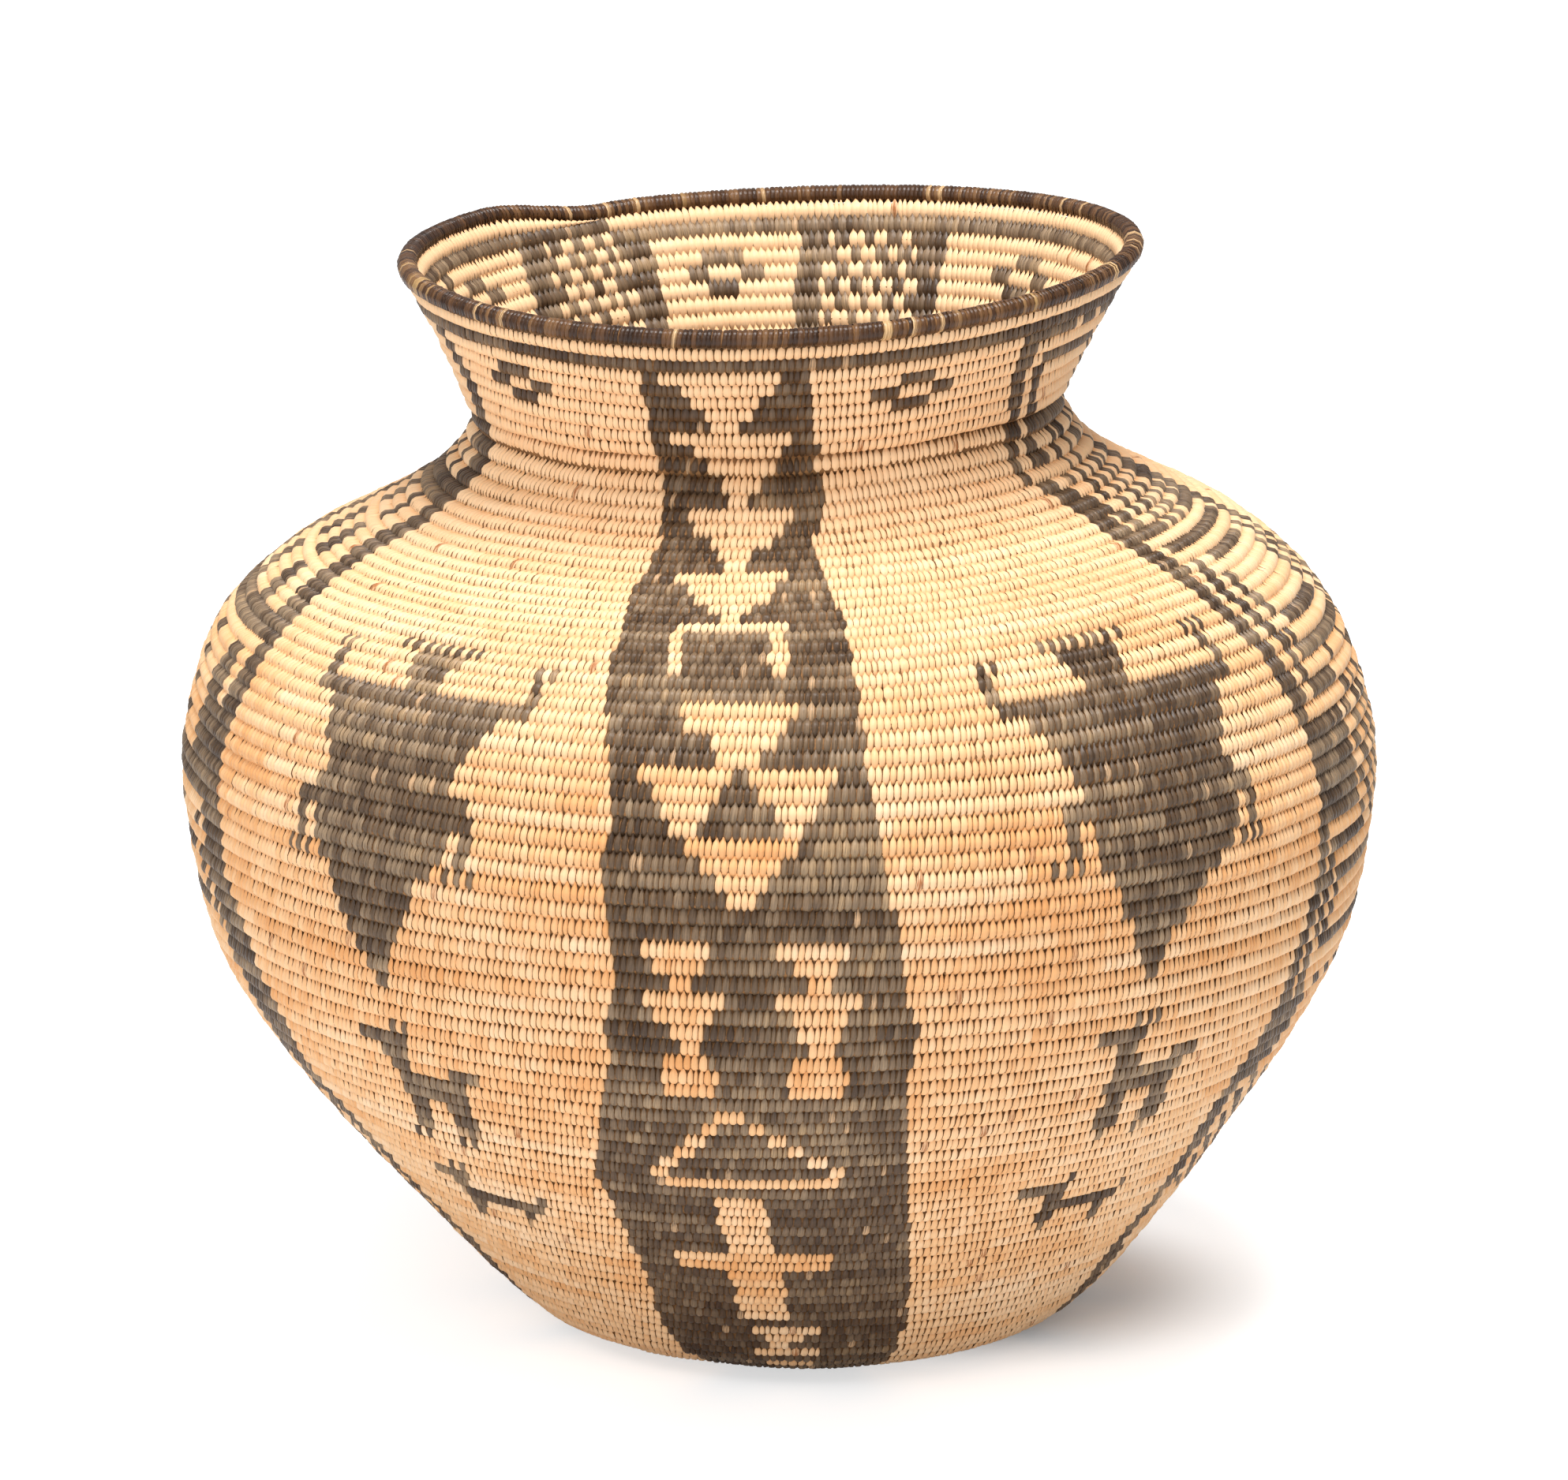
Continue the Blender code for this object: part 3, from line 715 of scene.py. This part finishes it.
def splint_material(
    name, shades, fresh_and_painted_light_colour, valley_dirt_and_painted_shade, stain_shade, stain_start,
    roughness, specular, streak, bump, changes,
):
    """A splint with its own shade, streaks along its fibres, ends darkened with painted shade and some dirt,
    and a few stains.

    changes says how much its shade changes from splint to splint, stitch to stitch and patch to
    patch, and stain_start is the tone above which a stitch has a stain.
    """
    material, tree, shader = new_material(name)
    tone, splint, fresh = (
        (add_node(tree, "ShaderNodeAttribute", {"attribute_name": key}), "Fac")
        for key in ("tone", "splint", "fresh")
    )
    body = add_node(tree, "ShaderNodeTexCoord")
    place_on_splint = add_node(tree, "ShaderNodeUVMap", {"uv_map": "splint_map"})
    at = add_node(tree, "ShaderNodeSeparateXYZ", inputs={"Vector": place_on_splint})
    fibre_at = add_node(tree, "ShaderNodeCombineXYZ", inputs={
        way: add_node(tree, "ShaderNodeMath", MULTIPLY, {0: source, 1: scale})
        for way, source, scale in (
            ("X", (at, "X"), STITCH_PITCH / FIBRE_WIDTH),
            ("Y", (at, "Y"), STITCH_LENGTH / FIBRE_LENGTH),
            ("Z", tone, FIBRE_DRAWS),
        )
    })
    fibres = add_node(tree, "ShaderNodeTexNoise", inputs={
        "Vector": fibre_at, "Scale": 1.0, "Detail": 3.0, "Roughness": 0.6,
    })
    patches = add_node(tree, "ShaderNodeTexNoise", inputs={
        "Vector": (body, "Object"), "Scale": 1 / PATCH_SIZE, "Detail": 3.0, "Roughness": 0.55,
    })
    pick = 0.5 - sum(changes) / 2
    for source, change in zip((splint, tone, patches), changes):
        pick = add_node(
            tree, "ShaderNodeMath", {"operation": "MULTIPLY_ADD"}, {0: source, 1: change, 2: pick},
        )
    base = add_node(tree, "ShaderNodeValToRGB", inputs={"Fac": pick}, stops=shades)
    # Where devil's claw is little worn it still has most of its first shade; on willow this mix is painted
    # light, a paler colour
    share = add_node(tree, "ShaderNodeMath", MULTIPLY, {0: fresh, 1: FRESH_AND_PAINTED_LIGHT_SHARE})
    base = add_node(tree, "ShaderNodeMix", COLOURS, {0: share, 6: base, 7: fresh_and_painted_light_colour})
    streaks = add_node(
        tree, "ShaderNodeValToRGB", inputs={"Fac": fibres},
        stops=((0.25, 1.0 - streak), (0.75, 1.0 + streak * 0.4)),
    )
    base = add_node(
        tree, "ShaderNodeMix", {**COLOURS, "blend_type": "MULTIPLY"}, {0: 1.0, 6: base, 7: streaks},
    )
    # Towards its ends the splint goes down into the valley between courses, and there its colour is darkened:
    # painted shade, with some dirt
    middle = add_node(tree, "ShaderNodeMath", {"operation": "SUBTRACT"}, {0: (at, "Y"), 1: 0.5})
    from_middle = add_node(tree, "ShaderNodeMath", {"operation": "ABSOLUTE"}, {0: middle})
    share = add_node(
        tree, "ShaderNodeValToRGB", inputs={"Fac": from_middle}, stops=((0.20, 0.0), (0.50, VALLEY_DIRT_AND_SHADE_SHARE)),
    )
    base = add_node(tree, "ShaderNodeMix", COLOURS, {0: share, 6: base, 7: valley_dirt_and_painted_shade})
    # A few stitches are stained or scarred
    scarred = add_node(tree, "ShaderNodeMath", {"operation": "GREATER_THAN"}, {0: tone, 1: stain_start})
    scar = add_node(tree, "ShaderNodeValToRGB", inputs={"Fac": fibres}, stops=((0.42, 0.0), (0.58, 1.0)))
    scar = add_node(tree, "ShaderNodeMath", MULTIPLY, {0: scarred, 1: scar})
    base = add_node(tree, "ShaderNodeMix", COLOURS, {0: scar, 6: base, 7: stain_shade})
    rough = add_node(tree, "ShaderNodeMapRange", inputs={
        "Value": fibres, "From Min": 0.3, "From Max": 0.7, "To Min": roughness[0], "To Max": roughness[1],
    })
    relief = add_node(tree, "ShaderNodeBump", inputs={"Height": fibres, "Strength": 0.7, "Distance": bump})
    feed(tree, shader, {
        "Base Color": base, "Roughness": rough, "Normal": relief,
        "IOR": 1.5, "Specular IOR Level": specular, "Metallic": 0.0,
    })
    return material


def willow_splints():
    """Willow split in three and scraped smooth: cream to honey, with a dry satin sheen."""
    return splint_material(
        "scraped_willow_splint",
        ((0.0, "#E5A467"), (0.3, "#EEB780"), (0.6, "#F5C796"), (1.0, "#FAD6AE")),
        # On willow the fresh colour is painted light, a paler colour
        fresh_and_painted_light_colour="#FFD8AB", valley_dirt_and_painted_shade="#E09C58", stain_shade="#A8693A", stain_start=0.994,
        roughness=(0.38, 0.54), specular=0.3, streak=0.12, bump=0.00006, changes=(0.5, 0.35, 1.1),
    )


def devils_claw_splints():
    """Devil's claw split from the pod: black-brown skin worn to grey and tan, a little glossy."""
    return splint_material(
        "split_devils_claw",
        ((0.0, "#4C3725"), (0.3, "#68513B"), (0.55, "#886F55"), (0.8, "#A3896C"), (1.0, "#B79771")),
        fresh_and_painted_light_colour="#40250F", valley_dirt_and_painted_shade="#38271A", stain_shade="#C9A27A", stain_start=0.988,
        roughness=(0.28, 0.46), specular=0.35, streak=0.65, bump=0.00025, changes=(0.55, 0.5, 0.9),
    )


def rim_splints():
    """The same splints round the rim, rubbed by hands to brown and tan."""
    return splint_material(
        "rubbed_devils_claw",
        ((0.0, "#2E1A0D"), (0.35, "#4A2F1B"), (0.65, "#68462A"), (0.9, "#8E6843"), (1.0, "#BC9560")),
        fresh_and_painted_light_colour="#3A2410", valley_dirt_and_painted_shade="#33200F", stain_shade="#DDB685", stain_start=0.95,
        roughness=(0.18, 0.32), specular=0.35, streak=0.50, bump=0.00015, changes=(0.25, 0.7, 1.1),
    )


def shaded_rods():
    """Peeled willow rods of the foundation, seen only as dark slits between stitches. Their colour is painted
    shade, darker than peeled willow.
    """
    material, tree, shader = new_material("peeled_willow_rods_in_shade")
    body = add_node(tree, "ShaderNodeTexCoord")
    grain = add_node(tree, "ShaderNodeTexNoise", inputs={
        "Vector": (body, "Object"), "Scale": 1 / GRAIN_SIZE, "Detail": 2.0, "Roughness": 0.6,
    })
    # Painted shade: the rods are coloured dark brown for the slits
    shade = add_node(
        tree, "ShaderNodeValToRGB", inputs={"Fac": grain}, stops=((0.3, "#66431F"), (0.7, "#96693C")),
    )
    feed(tree, shader, {"Base Color": shade, "Roughness": 0.8})
    return material


# The sewing tree: one stitch shape on every point, turned along the coil and leaning a little

# Attributes of a stitch's place: the way across it, the way out of the wall, and its size
FRAME_NAMES = "across", "out", "girth"


def sewing_tree():
    tree = bpy.data.node_groups.new("sewing", "GeometryNodeTree")
    for way, name, kind, value in (
        ("INPUT", "Stitch places", "Geometry", None),
        ("INPUT", "Stitch shape", "Object", None),
        ("INPUT", "Stitch size", "Float", 1.0),
        ("INPUT", "Slant", "Float", 0.0),
        ("INPUT", "Slant spread", "Float", 0.05),
        ("INPUT", "Seed", "Int", SEED),
        ("INPUT", "Splint", "Material", None),
        ("OUTPUT", "Sewn stitches", "Geometry", None),
    ):
        socket = tree.interface.new_socket(name, in_out=way, socket_type=f"NodeSocket{kind}")
        if value is not None:
            socket.default_value = value
    inputs = add_node(tree, "NodeGroupInput")
    shape = add_node(tree, "GeometryNodeObjectInfo", inputs={"Object": (inputs, "Stitch shape")})
    across, out, girth = (
        add_node(tree, "GeometryNodeInputNamedAttribute", {"data_type": "FLOAT_VECTOR"}, {"Name": name})
        for name in FRAME_NAMES
    )
    axes = add_node(
        tree, "FunctionNodeAxesToRotation", {"primary_axis": "Z", "secondary_axis": "X"}, {0: out, 1: across},
    )
    slant, slant_spread = (inputs, "Slant"), (inputs, "Slant spread")
    least, most = (
        add_node(tree, "ShaderNodeMath", {"operation": way}, {0: slant, 1: slant_spread})
        for way in ("SUBTRACT", "ADD")
    )
    # Sockets 2, 3 and 8 are the least and the greatest value and the seed
    spread = add_node(tree, "FunctionNodeRandomValue", inputs={2: least, 3: most, 8: (inputs, "Seed")})
    turn = add_node(tree, "FunctionNodeAxisAngleToRotation", inputs={"Axis": (0, 0, 1), "Angle": spread})
    leaning = add_node(tree, "FunctionNodeRotateRotation", {"rotation_space": "LOCAL"}, {0: axes, 1: turn})
    size = add_node(
        tree, "ShaderNodeVectorMath", {"operation": "SCALE"}, {0: girth, "Scale": (inputs, "Stitch size")},
    )
    laid = add_node(tree, "GeometryNodeInstanceOnPoints", inputs={
        "Points": (inputs, "Stitch places"), "Instance": (shape, "Geometry"),
        "Rotation": leaning, "Scale": size,
    })
    real = add_node(tree, "GeometryNodeRealizeInstances", inputs={"Geometry": laid})
    sewn = add_node(
        tree, "GeometryNodeSetMaterial", inputs={"Geometry": real, "Material": (inputs, "Splint")},
    )
    add_node(tree, "NodeGroupOutput", inputs={0: sewn})
    return tree


def sew(tree, shape, material, points, attributes, slant=-SLANT):
    """Runs the sewing tree over points with these attributes and returns the plain mesh."""
    places = mesh_of("stitch_places", points, [])
    for name, values in attributes.items():
        kind, key = ("FLOAT_VECTOR", "vector") if name in FRAME_NAMES else ("FLOAT", "value")
        values = np.asarray(values, dtype=np.float32).ravel()
        places.attributes.new(name, kind, "POINT").data.foreach_set(key, values)
    item = add_object("stitch_places", places)
    modifier = item.modifiers.new("sewing", "NODES")
    modifier.node_group = tree
    values = {"Stitch shape": shape, "Slant": slant, "Slant spread": SLANT_SPREAD, "Splint": material}
    for socket in tree.interface.items_tree:
        if socket.in_out == "INPUT" and socket.name in values:
            modifier[socket.identifier] = values[socket.name]
    item.update_tag()
    graph = bpy.context.evaluated_depsgraph_get()
    mesh = bpy.data.meshes.new_from_object(item.evaluated_get(graph))
    item.modifiers.remove(modifier)
    bpy.data.objects.remove(item, do_unlink=True)
    for name in FRAME_NAMES:
        mesh.attributes.remove(mesh.attributes[name])
    return mesh


def joined(name, meshes):
    """One piece from several sewn meshes, cut off flat where it stands on the floor."""
    parts = [add_object(name, mesh) for mesh in meshes]
    piece = parts[0]
    if len(parts) > 1:
        with bpy.context.temp_override(
            active_object=piece, object=piece, selected_objects=parts, selected_editable_objects=parts,
        ):
            bpy.ops.object.join()
    piece.data.name = name
    coords = np.empty(len(piece.data.vertices) * 3, dtype=np.float32)
    piece.data.vertices.foreach_get("co", coords)
    coords[2::3] = np.maximum(coords[2::3], 0.0)
    piece.data.vertices.foreach_set("co", coords)
    piece.data.update()
    return piece


def wall_stitches(sewing, chosen, inside):
    """Places of the chosen stitches, and the attributes that the sewing tree and their finish take."""
    azimuth, middle, radius = sewing.azimuth[chosen], sewing.middle[chosen], sewing.radius[chosen]
    rise = sewing.rise[chosen] + coil_offset(sewing.turns[chosen])
    depth = WALL + CREST_PROUD + rise * INSIDE_RISE if inside else -CREST_PROUD - rise
    turn = STEP / np.maximum(radius, COIL_PITCH)
    across = unit(place(azimuth + turn, middle, depth) - place(azimuth - turn, middle, depth))
    up = unit(place(azimuth, middle + STEP, depth) - place(azimuth, middle - STEP, depth))
    pitch = (sewing.high - sewing.low)[chosen]
    half_width = sewing.half_width[chosen] * sewing.width_share[chosen]
    relief = pitch
    if inside:
        across = -across
        half_width = half_width * INSIDE_WIDTH * (radius - WALL / 2) / radius
        relief = pitch * INSIDE_RELIEF
    # Inside, the willow is painted pale all over as painted light, and the devil's claw has been rubbed
    black, pale = (
        np.interp(sewing.course[chosen], *zip(*table)) for table in (DARK_FRESHNESS, WILLOW_PAINTED_LIGHT)
    )
    return place(azimuth, middle, depth), {
        "across": across,
        "out": unit(np.cross(across, up)),
        "girth": np.stack((half_width, pitch * sewing.length_share[chosen], relief), axis=-1),
        "tone": sewing.tone[chosen],
        "splint": sewing.splint[chosen],
        "fresh": np.where(sewing.dark[chosen], 0.0 if inside else black, 1.0 if inside else pale),
    }


# The coil's core under the sewing, one closed body for each run

CORE_ROWS = (
    (0.0, CORE_VALLEY_DEPTH), (0.22, CORE_FLANK_DEPTH), (0.5, CORE_CREST_DEPTH), (0.78, CORE_FLANK_DEPTH),
)
CORE_INNER_ROWS = ((0.0, CORE_VALLEY_DEPTH), (0.5, CORE_CREST_DEPTH))


def core_mesh(name, first, last):
    """The core from one turn of the spiral to another. Its skins meet along the first and last course."""
    per_turn = CORE_COLUMNS
    start, stop = round(first * per_turn), round(last * per_turn)
    verts, faces, index = [], [], {}

    def corner(side, number, row):
        rows = CORE_ROWS if side == "outer" else CORE_INNER_ROWS
        if row == len(rows):
            return corner(side, number + per_turn, 0)
        if number >= stop:
            row = 0
        key = (side, number, row)
        if key not in index:
            index[key] = len(index)
            share, depth = rows[row]
            turn = number / per_turn
            if number > stop and last >= LAST_TURN:
                length = float(top_edge(turn - 1.0))
            else:
                low = float(length_at(turn))
                length = low + (float(top_edge(turn)) - low) * share if turn < LAST_TURN else low
            if side == "inner":
                depth = WALL - depth
            verts.append((float(azimuth_at(turn)), length, depth, turn))
        return index[key]

    def seam(near, far):
        ends = ("outer", near), ("outer", far), ("inner", far), ("inner", near)
        return [corner(side, number, 0) for side, number in ends]

    def face(*corners):
        ring = [c for i, c in enumerate(corners) if c != corners[i - 1]]
        if len(ring) > 2:
            faces.append(ring)

    for number in range(start, stop):
        for side, rows in (("outer", CORE_ROWS), ("inner", CORE_INNER_ROWS)):
            for row in range(len(rows)):
                ring = (
                    corner(side, number, row), corner(side, number, row + 1),
                    corner(side, number + 1, row + 1), corner(side, number + 1, row),
                )
                face(*(ring if side == "outer" else ring[::-1]))
    for begin in (start, stop):
        for number in range(begin, begin + per_turn):
            ring = seam(number, number + 1)
            face(*(ring if begin == start else ring[::-1]))
    outside = [corner("outer", start, row) for row in range(len(CORE_ROWS) + 1)]
    inside = [corner("inner", start, row) for row in range(len(CORE_INNER_ROWS) + 1)]
    face(*inside, *outside[::-1])
    face(*seam(stop, stop + per_turn))
    table = np.array(verts)
    points = place(table[:, 0], table[:, 1], table[:, 2] - coil_offset(table[:, 3]))
    points[:, 2] = np.maximum(points[:, 2], CORE_FLOOR_GAP)
    return mesh_of(f"core_of_{name}", points, faces)


def add_core(mesh, material, *nodes):
    mesh.shade_smooth()
    mesh.materials.append(material)
    piece = add_object(mesh.name, mesh)
    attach(piece, "root")
    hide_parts(*nodes)


# The rim

def rim_line(turns):
    """Middle, direction along the wall and direction out of it, round the rim."""
    azimuth = azimuth_at(turns)
    length = top_edge(turns) + SEAT_GAP / 2 + RIM_DIAMETER / 2
    middle = place(azimuth, length, WALL / 2)
    up = unit(place(azimuth, length + WALL, WALL / 2) - middle)
    out = unit(place(azimuth, length, -WALL / 2) - middle)
    out = unit(out - up * np.sum(out * up, axis=-1, keepdims=True))
    return middle, up, out


def rim_core(material):
    turns = np.linspace(LAST_TURN - 1.0, LAST_TURN, RIM_CORE_RINGS)
    middle, up, out = rim_line(turns)
    sides = RIM_CORE_SIDES
    angles = [2 * math.pi * side / sides for side in range(sides)]
    verts = [
        at + (up_way * math.cos(angle) + out_way * math.sin(angle)) * RIM_CORE_RADIUS
        for at, up_way, out_way in zip(middle, up, out) for angle in angles
    ]
    faces = []
    for ring in range(RIM_CORE_RINGS - 1):
        for side in range(sides):
            a, b = ring * sides + side, ring * sides + (side + 1) % sides
            faces.append((a, b, b + sides, a + sides))
    faces.append(tuple(range(sides))[::-1])
    faces.append(tuple(range(len(verts) - sides, len(verts))))
    add_core(mesh_of("core_of_rim", verts, faces), material, "rim_rod_1", "rim_rod_2", "rim_rod_3")


def rim_stitches(tree, shape, material):
    noise = np.random.default_rng(SEED + 1)
    along_spread, width_spread, girth_spread = RIM_SPREADS
    count = round(2 * math.pi * MOUTH_RADIUS / RIM_STITCH_PITCH)
    turns = LAST_TURN - 1.0 + (np.arange(count) + 0.5 + noise.normal(0, along_spread, count)) / count
    middle, up, out = rim_line(turns)
    size = RIM_STITCH_RADIUS * noise.normal(1.0, girth_spread, count)
    half_width = math.pi * MOUTH_RADIUS / count * noise.normal(1.0, width_spread, count)
    splints = np.repeat(noise.random(count), noise.integers(*RIM_SPLINT, count))[:count]
    mesh = sew(tree, shape, material, middle, {
        "across": unit(np.cross(up, out)), "out": out, "girth": np.stack((half_width, size, size), axis=-1),
        "tone": noise.random(count), "splint": splints, "fresh": np.zeros(count),
    }, slant=-RIM_SLANT)
    piece = joined("rim_stitches", [mesh])
    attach(piece, "root")
    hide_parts("rim_wrapping")


# The stage: a white floor, soft lamps, and the camera that took the photograph

CAMERA_ELEVATION = math.radians(14)
CAMERA_DISTANCE = 2.8907
CAMERA_TARGET_HEIGHT = 0.20855
CAMERA_SIDE = 0.00167
FOCAL_PIXELS = 10371
PICTURE_WIDTH = 1987
SENSOR_WIDTH = 36.0
LAMP_TARGET = (0.0, 0.0, 0.18)


def add_camera():
    data = bpy.data.cameras.new("camera")
    data.sensor_width = SENSOR_WIDTH
    data.lens = FOCAL_PIXELS * SENSOR_WIDTH / PICTURE_WIDTH
    camera = add_object("camera", data)
    camera.location = (
        CAMERA_SIDE,
        -CAMERA_DISTANCE * math.cos(CAMERA_ELEVATION),
        CAMERA_TARGET_HEIGHT + CAMERA_DISTANCE * math.sin(CAMERA_ELEVATION),
    )
    camera.rotation_euler = (math.pi / 2 - CAMERA_ELEVATION, 0.0, 0.0)
    data.clip_end = 50
    bpy.context.scene.camera = camera


def add_lamp(name, place_at, size, power):
    data = bpy.data.lights.new(name, "AREA")
    data.shape = "DISK"
    data.size = size
    data.energy = power
    lamp = add_object(name, data)
    lamp.location = place_at
    way = Vector(LAMP_TARGET) - Vector(place_at)
    lamp.rotation_euler = way.to_track_quat("-Z", "Y").to_euler()


WHITE = "#FFFFFF"
FLOOR_SHADE = 0.86, 0.88, 0.90, 1.0
FLOOR_HALF = 8
WORLD_LIGHT = 0.48
# Painted light: what the floor adds to its own brightness as a glow that only the camera sees, least beside
# the foot, where the shadow lies
FLOOR_LIFTS = (0.09, 0.60)
FLOOR_LIFT_REACH = (0.035, 0.10)
SHADOW_PLACE = (0.085, 0.02, 0.0)


def add_stage():
    world = bpy.data.worlds.new("white room")
    world.use_nodes = True
    bpy.context.scene.world = world
    tree = world.node_tree
    tree.nodes.clear()
    light_path = add_node(tree, "ShaderNodeLightPath")
    room, backdrop = (
        add_node(tree, "ShaderNodeBackground", inputs={"Color": WHITE, "Strength": strength})
        for strength in (WORLD_LIGHT, 1.0)
    )
    seen = add_node(tree, "ShaderNodeMixShader", inputs={
        0: (light_path, "Is Camera Ray"), 1: room, 2: backdrop,
    })
    add_node(tree, "ShaderNodeOutputWorld", inputs={"Surface": seen})

    corners = [(x * FLOOR_HALF, y * FLOOR_HALF, 0) for x, y in ((-1, -1), (1, -1), (1, 1), (-1, 1))]
    floor_mesh = mesh_of("floor", corners, [(0, 1, 2, 3)])
    floor = add_object("floor", floor_mesh)
    material, tree, shader = new_material("white_paper_floor")
    feed(tree, shader, {"Base Color": FLOOR_SHADE, "Roughness": 0.9, "Specular IOR Level": 0.0})
    light_path = add_node(tree, "ShaderNodeLightPath")
    body = add_node(tree, "ShaderNodeTexCoord")
    # Painted light: the floor glows for the camera, least about SHADOW_PLACE
    distance = add_node(
        tree, "ShaderNodeVectorMath", {"operation": "DISTANCE"}, {0: (body, "Object"), 1: SHADOW_PLACE},
    )
    rise = add_node(tree, "ShaderNodeMapRange", {"interpolation_type": "SMOOTHSTEP"}, {
        "Value": distance, "From Min": FLOOR_LIFT_REACH[0], "From Max": FLOOR_LIFT_REACH[1],
        "To Min": FLOOR_LIFTS[0], "To Max": FLOOR_LIFTS[1],
    })
    strength = add_node(tree, "ShaderNodeMath", MULTIPLY, {0: (light_path, "Is Camera Ray"), 1: rise})
    lift = add_node(tree, "ShaderNodeEmission", inputs={"Color": WHITE, "Strength": strength})
    both = add_node(tree, "ShaderNodeAddShader", inputs={0: shader, 1: lift})
    feed(tree, tree.nodes["Material Output"], {"Surface": both})
    floor_mesh.materials.append(material)

    add_lamp("key", (-1.1, -2.0, 2.1), 1.2, 19.0)
    add_lamp("front_fill", (-0.7, -2.5, 0.5), 1.6, 12.5)
    add_lamp("top", (0.15, -0.45, 2.5), 1.2, 62.0)


def build():
    rods = shaded_rods()
    light_splints, dark_splints, rim_finish = willow_splints(), devils_claw_splints(), rim_splints()
    tree = sewing_tree()
    stitch_shape = leaf("stitch_shape", STITCH_ROWS, STITCH_ACROSS, over_coil)
    plain_shape = leaf("plain_stitch_shape", PLAIN_ROWS, PLAIN_ACROSS, over_coil)
    rim_shape = leaf("rim_stitch_shape", RIM_ROWS, STITCH_ACROSS, round_rim)
    sewing = Sewing()
    first = 0.0
    inner_start = LAST_TURN - INNER_FINE_COURSES
    for name, end_share in RUN_END_SHARES:
        last = round(LAST_CELL * end_share) / COLUMNS
        add_core(core_mesh(name, max(first, 1.0 / COLUMNS), last), rods, name)
        for dark, material, word, slot in (
            (False, light_splints, "light", "willow_splint"),
            (True, dark_splints, "dark", "devils_claw_splint"),
        ):
            chosen = sewing.picked(first, last, dark)
            if not len(chosen):
                continue
            meshes = [sew(tree, stitch_shape, material, *wall_stitches(sewing, chosen, False))]
            shape = stitch_shape if first > inner_start else plain_shape
            meshes.append(sew(tree, shape, material, *wall_stitches(sewing, chosen, True), slant=SLANT))
            piece = joined(f"{word}_stitches_of_{name}", meshes)
            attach(piece, "root")
        first = last
    rim_core(rods)
    rim_stitches(tree, rim_shape, rim_finish)
    for shape in (stitch_shape, plain_shape, rim_shape):
        bpy.data.objects.remove(shape, do_unlink=True)


build()
add_stage()
add_camera()
bpy.context.scene.view_settings.view_transform = "Standard"
